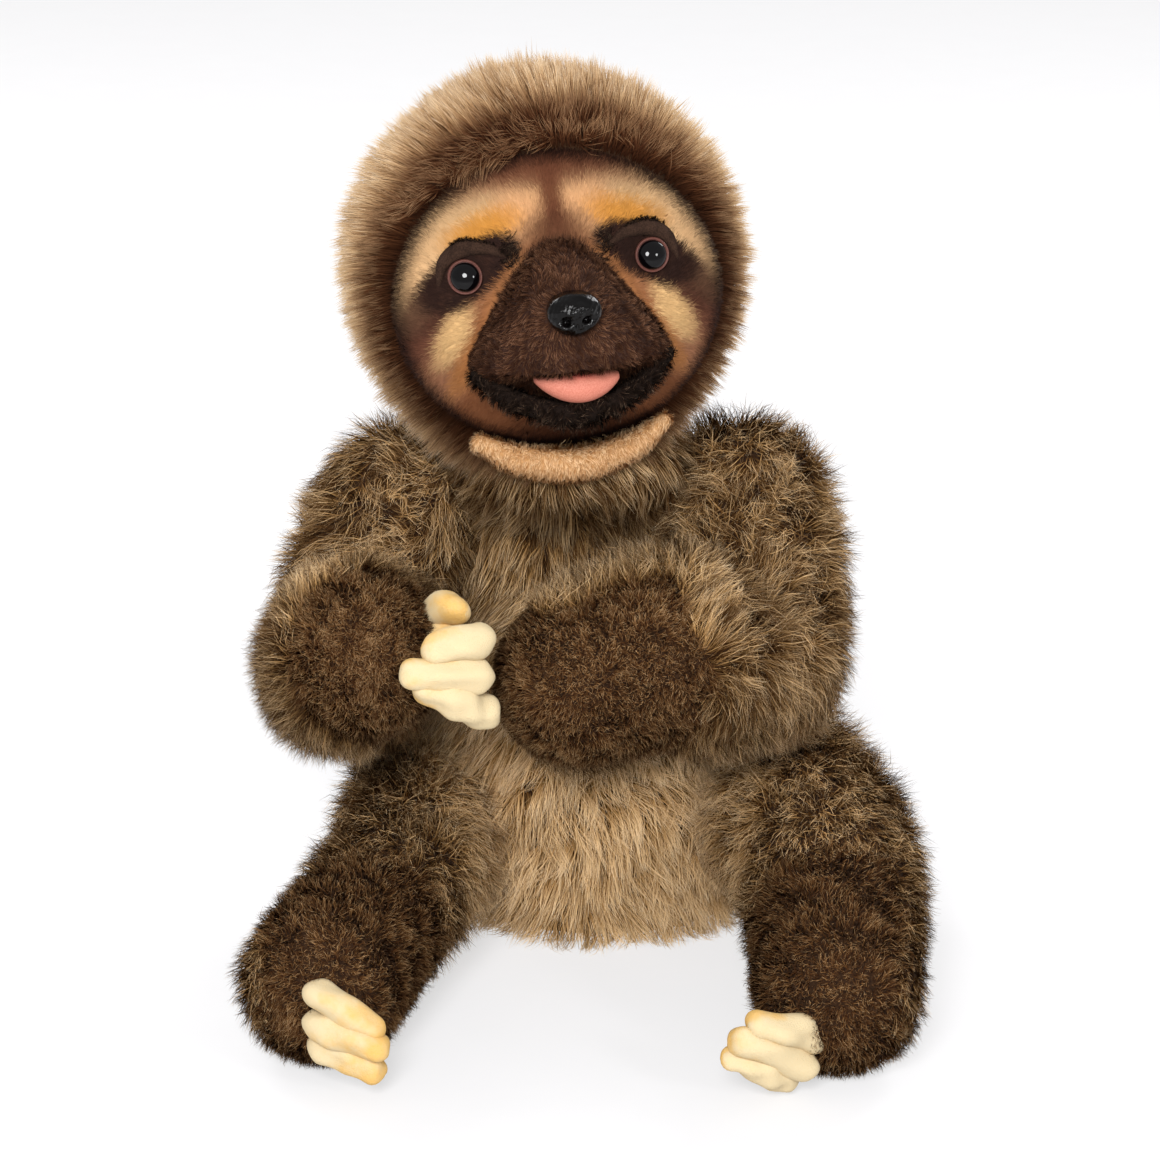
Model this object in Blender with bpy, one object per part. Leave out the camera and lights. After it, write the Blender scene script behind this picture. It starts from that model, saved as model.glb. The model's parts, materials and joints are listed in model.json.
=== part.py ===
"""A plush sloth that sits with its arms folded: stuffed limbs on wires, sewn claws, a turning head.

Blender 4.5, metres, +Z up. The sloth faces -Y and its own left side is +X.
The seat's flat face lies at Z = 0 and holds the origin.
"""

import math

import bmesh
import bpy
import numpy as np
from mathutils import Matrix, Vector

# Clearances and cuts
GAP = 0.0003
OVERRUN = 0.012
FLOOR_CUT = 0.0005
NEST_ROOM = 0.0020
KEEP_ROOM = 0.0008
BORE_ROOM = 0.0006

# Torso
TORSO_HEIGHT = 0.180
TORSO_WIDTH = 0.114
TORSO_DEPTH = 0.090
TORSO_LEAN = 0.010
SEAT_SIDE = 0.004
SEAT_BACK = -0.004
SEAT_PANEL_THICKNESS = 0.0016
SEAT_PANEL_MARGIN = 0.006
TORSO_LEVEL_SHARES = (0.0, 0.05, 0.14, 0.28, 0.44, 0.60, 0.76, 0.88, 0.96, 1.0)
TORSO_GIRTH_SHARES = (0.84, 0.93, 0.99, 1.0, 0.96, 0.86, 0.76, 0.62, 0.40, 0.24)
PELLET_BAG_RADIUS = 0.022
PELLET_BAG_HEIGHT = 0.020

# Head
HEAD_HEIGHT = 0.223
HEAD_FORWARD = 0.015
HEAD_SIDE = 0.014
HEAD_TURN_DEG = 7.0
HEAD_TILT_DEG = 5.0
HEAD_ROLL_DEG = 5.0
HOOD_RADIUS = 0.062
NECK_REACH = 0.0690
NECK_SWELL_POWER = 6
FACE_RADIUS = 0.0515
FACE_HEIGHT_SHARE = 0.90
FACE_DROP = 0.0040
FACE_SEAT = 0.0240
FACE_RIM = 0.0050
FACE_DOME = 0.0245
MUZZLE_HALF_WIDTH = 0.0315
MUZZLE_HALF_HEIGHT = 0.0360
MUZZLE_LOWER_SHARE = 0.36
MUZZLE_REACH = 0.0770
MUZZLE_DROP = 0.0180
MUZZLE_CENTRE_DEPTH = 0.0460
MUZZLE_ROOT = 0.0140
MUZZLE_TOP_PINCH_SHARE = 0.50
LIP_RADIUS = 0.0046
LIP_HALF_WIDTH = 0.0290
LIP_DEPTH = 0.0640
LIP_DROP = 0.0335
LIP_END_DROP = 0.0205
LIP_END_DEPTH = 0.0545
TONGUE_WIDTH = 0.0290
TONGUE_HEIGHT = 0.0100
TONGUE_DEPTH = 0.0130
TONGUE_DROP = 0.0250
TONGUE_FRONT = 0.0745
NOSE_WIDTH = 0.0185
NOSE_HEIGHT = 0.0135
NOSE_DEPTH = 0.0090
NOSE_STEM_RADIUS = 0.0022
NOSE_STEM_LENGTH = 0.0120
CHIN_STRIP_RADIUS = 0.0044
CHIN_STRIP_HALF_WIDTH = 0.0290
CHIN_STRIP_DROP = 0.0560
CHIN_STRIP_DEPTH = 0.0370
CHIN_STRIP_END_DROP = 0.0465
CHIN_STRIP_END_DEPTH = 0.0330

# Eyes
EYE_SPACING = 0.0580
EYE_HEIGHT = 0.0086
EYE_RADIUS = 0.0066
EYE_DEPTH = 0.0405
EYE_STEM_RADIUS = 0.0018
EYE_STEM_LENGTH = 0.0120
EYE_WASHER_RADIUS = 0.0060
EYE_WASHER_THICKNESS = 0.0012
EYELID_RADIUS = 0.0014
EYELID_ARC_DEG = 200.0

# Neck joint
NECK_TURN_DEG = 30.0
NECK_DISC_RADIUS = 0.0180
NECK_DISC_THICKNESS = 0.0025
NECK_WASHER_RADIUS = 0.0060
NECK_WASHER_THICKNESS = 0.0010
NECK_PIN_RADIUS = 0.0016
NECK_PIN_HEAD_RADIUS = 0.0034
NECK_PIN_HEAD_HEIGHT = 0.0014
NECK_PIN_TAIL = 0.0016

# Arms
SHOULDER_HEIGHT = 0.140
SHOULDER_SPREAD = 0.0565
SHOULDER_FORWARD = 0.008
SHOULDER_RADIUS = 0.0300
ELBOW_RADIUS = 0.0270
PAW_RADIUS = 0.0260
UPPER_ARM_LENGTH = 0.056
FOREARM_LENGTH = 0.064

# Legs
HIP_HEIGHT = 0.040
HIP_SPREAD = 0.0535
HIP_FORWARD = 0.012
HIP_RADIUS = 0.0335
KNEE_RADIUS = 0.0305
FOOT_RADIUS = 0.0275
LEG_LENGTH = 0.117

# Claws, pads and wires
CLAW_RADIUS = 0.0052
CLAW_TIP_RADIUS = 0.0036
PAD_THICKNESS = 0.0010
PALM_LENGTH_SHARE = 0.24
PALM_PLACE_SHARE = 0.60
PALM_HALF_DEG = 50.0
SOLE_HALF_DEG = 32.0
SWING_STEPS = 3
WIRE_RADIUS = 0.0012
WIRE_ANCHOR_DEPTH = 0.008
WIRE_END_SHARE = 0.10
UPPER_END_SHARE = 0.92
FOREARM_SWELL_SHARE = 1.02

# Pose of each side: directions as shares of the length they carry
SIDES = {
    "left": {
        "side": 1.0,
        "shoulder_shift_share": -0.03,
        "upper_arm_shares": (0.06, -0.79, -0.61),
        "forearm_shares": (-0.83, -0.53, 0.06),
        "sole_shares": (0.20, -0.70, 0.68),
        "hip_shift_share": 0.04,
        "hip_step_share": 0.20,
        "leg_shares": (0.15, -0.980, -0.130),
        "knee_bow_shares": (0.08, 0.0, 0.05),
        "arm_swing": ((-1, 0, 0), 20.0),
        "elbow_swing": ((0, 0, 1), 45.0),
        "hip_swing": ((0, 0, 1), 18.0),
        "hand_claw_shares": (
            ((-0.46, -0.42, 0.74), (-1.98, -0.98, 0.86)),
            ((-0.60, -0.56, 0.30), (-2.12, -1.02, 0.57)),
            ((-0.56, -0.54, -0.18), (-2.04, -0.98, 0.28)),
        ),
        "foot_claw_shares": (
            ((-0.22, -0.66, -0.14), (-0.82, -1.02, 0.09)),
            ((-0.36, -0.60, -0.46), (-1.06, -1.03, -0.07)),
            ((-0.52, -0.48, -0.63), (-1.26, -0.94, -0.22)),
        ),
    },
    "right": {
        "side": -1.0,
        "shoulder_shift_share": -0.03,
        "upper_arm_shares": (-0.34, -0.42, -0.78),
        "forearm_shares": (0.05, -0.88, 0.42),
        "palm_shares": (-0.25, -0.90, 0.15),
        "sole_shares": (-0.34, -0.62, 0.72),
        "hip_shift_share": 0.00,
        "hip_step_share": -0.20,
        "leg_shares": (-0.245, -0.962, -0.118),
        "knee_bow_shares": (-0.01, 0.0, 0.01),
        "arm_swing": ((0, 1, 0), 25.0),
        "elbow_swing": ((-1, 0, 0), 25.0),
        "hip_swing": ((0, 0, 1), 18.0),
        "hand_claw_shares": (
            ((0.64, 0.02, 0.50), (1.48, -0.10, 0.64)),
            ((0.78, 0.02, 0.10), (1.50, -0.08, 0.20)),
            ((0.76, 0.04, -0.30), (1.40, 0.02, -0.24)),
        ),
        "foot_claw_shares": (
            ((-0.08, -0.74, 0.24), (0.58, -1.08, -0.07)),
            ((-0.12, -0.78, -0.18), (0.65, -1.08, -0.33)),
            ((-0.08, -0.68, -0.54), (0.52, -0.99, -0.60)),
        ),
    },
}

# Colours of the cloths and fittings, as linear red, green and blue, with roughness and metallic
FINISHES = {
    "long_fur": ((0.150, 0.100, 0.055), 0.95, 0.0),
    "hood_fur": ((0.210, 0.150, 0.095), 0.95, 0.0),
    "short_fur": ((0.060, 0.034, 0.020), 0.95, 0.0),
    "face_velour": ((0.330, 0.180, 0.085), 0.90, 0.0),
    "cream_velour": ((0.820, 0.640, 0.330), 0.90, 0.0),
    "chin_velour": ((0.560, 0.370, 0.190), 0.90, 0.0),
    "dark_suede": ((0.026, 0.015, 0.010), 0.85, 0.0),
    "tongue_felt": ((0.780, 0.270, 0.210), 0.80, 0.0),
    "eye_black": ((0.010, 0.007, 0.006), 0.08, 0.0),
    "nose_black": ((0.008, 0.007, 0.007), 0.25, 0.0),
    "white_plastic": ((0.750, 0.750, 0.730), 0.50, 0.0),
    "fibreboard": ((0.320, 0.200, 0.100), 0.80, 0.0),
    "steel": ((0.600, 0.600, 0.600), 0.35, 1.0),
    "base_cloth": ((0.070, 0.050, 0.035), 0.95, 0.0),
    "bag_cloth": ((0.600, 0.580, 0.520), 0.90, 0.0),
}


UP = (0.0, 0.0, 1.0)


# Small helpers


def finish(name):
    """A Principled material for one finish, made once."""
    found = bpy.data.materials.get(name)
    if found:
        return found
    colour, roughness, metallic = FINISHES[name]
    made = bpy.data.materials.new(name)
    made.use_nodes = True
    shader = made.node_tree.nodes["Principled BSDF"]
    shader.inputs["Base Color"].default_value = (*colour, 1.0)
    shader.inputs["Roughness"].default_value = roughness
    shader.inputs["Metallic"].default_value = metallic
    made.diffuse_color = (*colour, 1.0)
    return made


def through(knots, share):
    """Points of a smooth curve through the knots, for shares 0 to 1 of its run."""
    knots = np.asarray(knots, float).reshape(len(knots), -1)
    spans = len(knots) - 1
    padded = np.vstack([2 * knots[0] - knots[1], knots, 2 * knots[-1] - knots[-2]])
    place = np.clip(np.atleast_1d(share), 0, 1) * spans
    first = np.minimum(place.astype(int), spans - 1)
    step = (place - first)[:, None]
    a, b, c, d = (padded[first + k] for k in range(4))
    return b + step / 2 * (c - a + step * (2 * a - 5 * b + 4 * c - d + step * (3 * (b - c) + d - a)))


def unit(vectors):
    vectors = np.asarray(vectors, float)
    return vectors / np.linalg.norm(vectors, axis=-1, keepdims=True)


def make_object(name, vertices, faces, material=None, pivot=(0, 0, 0), smooth=True):
    """One object whose origin is at the pivot; a name with no material makes a hidden cutter."""
    pivot = Vector(pivot)
    mesh = bpy.data.meshes.new(name)
    mesh.from_pydata([Vector(v) - pivot for v in vertices], [], faces)
    shape = bmesh.new()
    shape.from_mesh(mesh)
    bmesh.ops.recalc_face_normals(shape, faces=shape.faces)
    shape.to_mesh(mesh)
    shape.free()
    if smooth:
        mesh.shade_smooth()
        mesh.set_sharp_from_angle(angle=math.radians(45))
    made = bpy.data.objects.new(name, mesh)
    made.location = pivot
    bpy.context.scene.collection.objects.link(made)
    if material:
        mesh.materials.append(finish(material))
    else:
        made.hide_render = True
        made.display_type = "WIRE"
    return made


def skin(name, rings, material=None, pivot=(0, 0, 0), loop=False):
    """A closed solid from rings of points; unless it is a loop, its first and last rings shrink to poles."""
    rings = np.asarray(rings, float)
    count, sides = rings.shape[:2]
    vertices = rings.reshape(-1, 3).tolist()
    following = [(k + 1) % sides for k in range(sides)]
    faces = []
    for r in range(count if loop else count - 1):
        a, b = r * sides, (r + 1) % count * sides
        faces += [(a + k, a + following[k], b + following[k], b + k) for k in range(sides)]
    if not loop:
        for r, turn in ((0, -1), (count - 1, 1)):
            pole = len(vertices)
            vertices.append(rings[r].mean(axis=0).tolist())
            corners = [(r * sides + k, r * sides + following[k], pole) for k in range(sides)]
            faces += [c[::turn] for c in corners]
    return make_object(name, vertices, faces, material, pivot)


def cut(target, *cutters):
    """Live exact differences that take the cutters out of the target."""
    for cutter in cutters:
        modifier = target.modifiers.new(cutter.name, "BOOLEAN")
        modifier.operation = "DIFFERENCE"
        modifier.solver = "EXACT"
        modifier.object = cutter


def settled(name, source):
    """A hidden cutter that holds the source's finished mesh."""
    bpy.context.view_layer.update()
    graph = bpy.context.evaluated_depsgraph_get()
    mesh = bpy.data.meshes.new_from_object(source.evaluated_get(graph))
    made = bpy.data.objects.new(name, mesh)
    made.matrix_world = source.matrix_world.copy()
    made.hide_render = True
    made.display_type = "WIRE"
    bpy.context.scene.collection.objects.link(made)
    return made


def swung(source, pivot, axis, degrees):
    """A linked copy of a cutter, turned back about a joint's axis."""
    made = bpy.data.objects.new(f"{source.name}_at_{degrees:.0f}", source.data)
    pivot = Vector(pivot)
    turn = Matrix.Rotation(math.radians(-degrees), 4, Vector(axis))
    made.matrix_world = Matrix.Translation(pivot) @ turn @ Matrix.Translation(-pivot) @ source.matrix_world
    made.hide_render = True
    made.display_type = "WIRE"
    bpy.context.scene.collection.objects.link(made)
    return made


def axis_matrix(origin, along, reference):
    """A frame at the origin with Z along a direction and X as near the reference as it can be."""
    z = Vector(along).normalized()
    x = Vector(reference)
    x = (x - x.dot(z) * z).normalized()
    return Matrix.Translation(Vector(origin)) @ Matrix((x, z.cross(x), z)).transposed().to_4x4()


def turned(name, profile, frame, material=None, sides=24, squash=(1, 1), pivot=(0, 0, 0), loop=False):
    """A profile of (radius, height) pairs spun about the frame's Z, wider or narrower along X and Y."""
    angles = np.arange(sides) * 2 * np.pi / sides
    profile = np.asarray(profile, float)
    x = profile[:, :1] * np.cos(angles) * squash[0]
    y = profile[:, :1] * np.sin(angles) * squash[1]
    z = np.broadcast_to(profile[:, 1:], x.shape)
    points = np.stack([x, y, z, np.ones_like(x)], -1) @ np.array(frame).T
    return skin(name, points[..., :3], material, pivot, loop)


def ball(name, centre, radius, material=None, rings=11, sides=18):
    """A sphere about a centre."""
    polar = np.linspace(0, np.pi, rings + 2)[1:-1]
    profile = np.stack([radius * np.sin(polar), radius * np.cos(polar)], 1)
    return turned(name, profile, Matrix.Translation(Vector(centre)), material, sides)


def rod_profile(radius, low, high):
    return [(radius / 2, low), (radius, low), (radius, high), (radius / 2, high)]


def ring_profile(inner, outer, low, high):
    return [(inner, low), (outer, low), (outer, high), (inner, high)]


# Stuffed tubes


CAP_SHARE = 0.22


def tube_points(knots, radii, along, around, reference, lift=0.0):
    """Points on a stuffed tube with round ends: along and around run over its length and girth."""
    along, around = np.broadcast_arrays(np.asarray(along, float), np.asarray(around, float))
    flat, turn = along.ravel(), around.ravel()[:, None]
    share = (flat - CAP_SHARE) / (1 - 2 * CAP_SHARE)
    centre = through(knots, share)
    radius = through(np.asarray(radii, float)[:, None], share) + lift
    nudge = 1 / 64
    inside = np.clip(share, 0, 1)
    tangent = unit(through(knots, inside + nudge) - through(knots, inside - nudge))
    start = np.clip(1 - flat / CAP_SHARE, 0, 1)
    end = np.clip(1 - (1 - flat) / CAP_SHARE, 0, 1)
    tip = ((end - start) * np.pi / 2)[:, None]
    reference = np.asarray(reference, float)
    side = unit(reference - (tangent @ reference)[:, None] * tangent)
    other = np.cross(tangent, side)
    normal = side * np.cos(turn) + other * np.sin(turn)
    points = centre + radius * (tangent * np.sin(tip) + normal * np.cos(tip))
    return points.reshape(*along.shape, 3)


def tube(name, knots, radii, reference, material=None, pivot=(0, 0, 0), rings=13, sides=14, lift=0.0):
    """A closed stuffed tube through the knots, whose round ends count as rings."""
    caps = max(rings // 4, 2)
    ends = CAP_SHARE * (1 - np.cos(np.linspace(0, np.pi / 2, caps + 1)[1:]))
    body = np.linspace(CAP_SHARE, 1 - CAP_SHARE, rings - 2 * caps + 2)[1:-1]
    rows = np.concatenate([ends, body, 1 - ends[::-1]])
    around = np.arange(sides) * 2 * np.pi / sides
    points = tube_points(knots, radii, rows[:, None], around[None, :], reference, lift)
    return skin(name, points, material, pivot)


def pad_on(name, knots, radii, reference, middle, spans, pivot, rings=4, sides=16):
    """A thin cloth pad that lies on a tube over an oval of its length and girth."""
    angles = np.arange(sides) * 2 * np.pi / sides
    reach = (np.arange(rings) + 0.5) / (rings - 0.5)
    along = middle[0] + spans[0] * reach[:, None] * np.cos(angles)
    around = middle[1] + spans[1] * reach[:, None] * np.sin(angles)
    outer = tube_points(knots, radii, along, around, reference, KEEP_ROOM + PAD_THICKNESS)
    inner = tube_points(knots, radii, along, around, reference, KEEP_ROOM)
    return skin(name, np.concatenate([outer, inner[::-1]]), "short_fur", pivot)


def end_pad(name, centre, radius, toward, half_degrees, pivot, rings=4, sides=16):
    """A thin cloth pad on a limb's round end, centred on a direction."""
    polar = (np.arange(rings) + 0.5) / (rings - 0.5) * math.radians(half_degrees)
    low = radius + KEEP_ROOM
    high = low + PAD_THICKNESS
    outer = [(high * math.sin(p), high * math.cos(p)) for p in polar]
    inner = [(low * math.sin(p), low * math.cos(p)) for p in polar[::-1]]
    frame = axis_matrix(centre, toward, UP)
    return turned(name, outer + inner, frame, "short_fur", sides, pivot=pivot)


def wire(name, knots, material=None, radius=WIRE_RADIUS, steps=15, sides=6):
    """A bent wire, or its bore, through the knots."""
    return tube(name, knots, [radius] * 2, (0.2, 0.1, 1.0), material, knots[0], steps, sides)


# Torso


def torso_centre(level):
    """The torso's centre line, which leans to the sloth's right with height."""
    share = np.asarray(level, float) / TORSO_HEIGHT
    x = SEAT_SIDE - TORSO_LEAN * share
    y = SEAT_BACK * (1 - share)
    return np.stack([x, y, np.asarray(level, float)], -1)


def torso_points(level_share, angle, lift=0.0):
    """Points on the torso's skin at a share of its height and an angle about its centre line."""
    level_share, angle = np.broadcast_arrays(level_share, angle)
    girth = np.interp(level_share, TORSO_LEVEL_SHARES, TORSO_GIRTH_SHARES)
    centre = torso_centre(level_share * TORSO_HEIGHT)
    across = (TORSO_WIDTH / 2 * girth + lift) * np.cos(angle)
    deep = (TORSO_DEPTH / 2 * girth + lift) * np.sin(angle)
    return centre + np.stack([across, deep, np.zeros_like(across)], -1)


def torso_skin(name, material=None, lift=0.0, low=0.0, sides=26):
    """The stuffed torso above a level; the pellets and the head's nest are cut out later."""
    fine = through(np.array(TORSO_LEVEL_SHARES)[:, None], np.linspace(0, 1, 14))[:, 0]
    levels = np.concatenate([[low / TORSO_HEIGHT], fine[1:]])
    angles = np.arange(sides) * 2 * np.pi / sides
    rings = torso_points(levels[:, None], angles[None, :], lift)
    rings[0, :, 2] = low
    return skin(name, rings, material)


def build_torso():
    """The torso, its base cloth and the bag of pellets that keeps it sitting."""
    body = torso_skin("torso_body", "long_fur", low=SEAT_PANEL_THICKNESS + GAP)
    angles = np.arange(32) * 2 * np.pi / 32
    rim = torso_points(np.zeros(32), angles, -SEAT_PANEL_MARGIN)
    low, high = rim.copy(), rim.copy()
    high[:, 2] = SEAT_PANEL_THICKNESS
    middle = rim.mean(axis=0)
    inner_low, inner_high = (middle + (r - middle) / 2 for r in (low, high))
    inner_low[:, 2], inner_high[:, 2] = 0.0, SEAT_PANEL_THICKNESS
    skin("seat_panel", [inner_low, low, high, inner_high], "base_cloth")
    bag_foot = SEAT_PANEL_THICKNESS + GAP
    centre = torso_centre(bag_foot)
    frame = Matrix.Translation(Vector(centre))

    def bag_profile(lift, foot):
        polar = np.linspace(0.04, 0.5, 8) * np.pi
        radius, height = PELLET_BAG_RADIUS + lift, PELLET_BAG_HEIGHT + lift
        dome = [(radius * math.sin(p) ** 0.7, height * math.cos(p)) for p in polar]
        return dome + [(radius, foot), (radius / 2, foot)]

    turned("pellet_bag", bag_profile(0.0, GAP), frame, "bag_cloth")
    pocket = turned("pellet_pocket", bag_profile(GAP, -OVERRUN), frame)
    cut(body, pocket)
    return body


# Head


def head_frame():
    """The head's own frame: X to its left, -Y out of its face, Z out of its crown."""
    turn = Matrix.Rotation(math.radians(HEAD_TURN_DEG), 4, "Z")
    tilt = Matrix.Rotation(math.radians(-HEAD_TILT_DEG), 4, "X")
    roll = Matrix.Rotation(math.radians(-HEAD_ROLL_DEG), 4, "Y")
    centre = Matrix.Translation((-HEAD_SIDE, -HEAD_FORWARD, HEAD_HEIGHT))
    return centre @ turn @ tilt @ roll


def on_face(points):
    """World places of points given as (left, forward, up) in the head."""
    local = np.asarray(points, float) * (1, -1, 1)
    frame = np.array(head_frame())
    return local @ frame[:3, :3].T + frame[:3, 3]


def facing(left, forward, up):
    """A frame on the face whose Z points out of it and whose X points to the head's left."""
    head = head_frame()
    origin = head @ Vector((left, -forward, up))
    return axis_matrix(origin, -head.col[1].xyz, head.col[0].xyz)


def face_profile(lift=0.0):
    """The face's section from its flat back to the top of its dome."""
    rim = FACE_RADIUS + lift
    polar = np.linspace(0, 0.46, 6) * np.pi
    dome = [(rim * math.cos(p), FACE_RIM + (FACE_DOME - FACE_RIM + lift) * math.sin(p)) for p in polar]
    return [(rim / 2, 0.0), (rim, 0.0)] + dome


def face_height(left, up):
    """The dome's height over the face's flat back at a place in the head's frame."""
    share = min(math.hypot(left, (up + FACE_DROP) / FACE_HEIGHT_SHARE) / FACE_RADIUS, 1.0)
    return FACE_RIM + (FACE_DOME - FACE_RIM) * math.sqrt(1 - share**2)


def muzzle_points(lift=0.0, rings=11, sides=18):
    """The muzzle's egg, narrower at its top, flatter below and drawn out towards the nose."""
    polar = np.linspace(0, np.pi, rings + 2)[1:-1][:, None]
    angle = np.arange(sides)[None, :] * 2 * np.pi / sides
    reach = np.where(np.cos(polar) > 0, MUZZLE_REACH - MUZZLE_CENTRE_DEPTH, MUZZLE_ROOT) + lift
    up = np.sin(polar) * np.sin(angle)
    pinch = 1 - MUZZLE_TOP_PINCH_SHARE * np.clip(up, 0, 1)
    left = (MUZZLE_HALF_WIDTH + lift) * np.sin(polar) * np.cos(angle) * pinch
    forward = MUZZLE_CENTRE_DEPTH + reach * np.cos(polar) * np.ones_like(angle)
    half = np.where(up > 0, MUZZLE_HALF_HEIGHT, MUZZLE_HALF_HEIGHT * MUZZLE_LOWER_SHARE)
    height = -MUZZLE_DROP + (half + lift) * up
    return on_face(np.stack([left, forward, height], -1))


def lip_knots(half_width, drop, depth, end_drop, end_depth):
    """A drooping arc across the face, as five knots in the head's frame."""
    across_shares = (-1.0, -0.62, 0.0, 0.62, 1.0)
    sag_shares = (0.0, 0.62, 1.0, 0.62, 0.0)
    return on_face(
        [
            (half_width * a, end_depth + (depth - end_depth) * s, -end_drop - (drop - end_drop) * s)
            for a, s in zip(across_shares, sag_shares)
        ]
    )


def build_eye(side, name, face):
    """One moulded eye on its stem, the washer behind it and the lid sewn over it."""
    left = side * EYE_SPACING / 2
    frame = facing(left, EYE_DEPTH, EYE_HEIGHT)
    stem_foot = -EYE_STEM_LENGTH
    polar = np.linspace(0.10, 0.86, 7) * np.pi
    dome = [(EYE_RADIUS * math.sin(p), EYE_RADIUS * math.cos(p)) for p in polar]
    shoulder = dome[-1][1]
    stem = [(EYE_STEM_RADIUS, shoulder), (EYE_STEM_RADIUS, stem_foot), (EYE_STEM_RADIUS / 2, stem_foot)]
    turned(f"{name}_eye", dome + stem, frame, "eye_black", 14)
    socket = [(r + (GAP if r > 0 else 0), z) for r, z in [(EYE_RADIUS / 2, OVERRUN), (EYE_RADIUS, OVERRUN)]]
    polar = np.linspace(0.5, 0.86, 4) * np.pi
    radius = EYE_RADIUS + GAP
    socket += [(radius * math.sin(p), radius * math.cos(p)) for p in polar]
    hole = EYE_STEM_RADIUS + GAP
    pocket_floor = -EYE_RADIUS - EYE_STEM_RADIUS
    pocket = EYE_WASHER_RADIUS + GAP
    back = FACE_SEAT - EYE_DEPTH - OVERRUN / 2
    socket += [(hole, socket[-1][1]), (hole, pocket_floor), (pocket, pocket_floor)]
    socket += [(pocket, back), (hole, back)]
    cut(face, turned(f"{name}_eye_socket", socket, frame, sides=14))
    high = pocket_floor - GAP
    washer = ring_profile(hole, EYE_WASHER_RADIUS, high - EYE_WASHER_THICKNESS, high)
    turned(f"{name}_eye_washer", washer, frame, "white_plastic", 12, loop=True)
    half_arc = math.radians(EYELID_ARC_DEG) / 2
    arc = math.pi / 2 + np.linspace(-half_arc, half_arc, 9)
    reach = EYE_RADIUS + EYELID_RADIUS + GAP
    lid_left = left + reach * np.cos(arc)
    lid_up = EYE_HEIGHT + reach * np.sin(arc)
    lid_forward = [
        FACE_SEAT + face_height(x, z) + EYELID_RADIUS + GAP * 2 for x, z in zip(lid_left, lid_up)
    ]
    knots = on_face(np.stack([lid_left, lid_forward, lid_up], -1))
    lid = tube(f"{name}_eyelid", knots, [EYELID_RADIUS] * 2, (0, -1, 0.2), "dark_suede", knots[0], 13, 6)
    return lid


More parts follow.
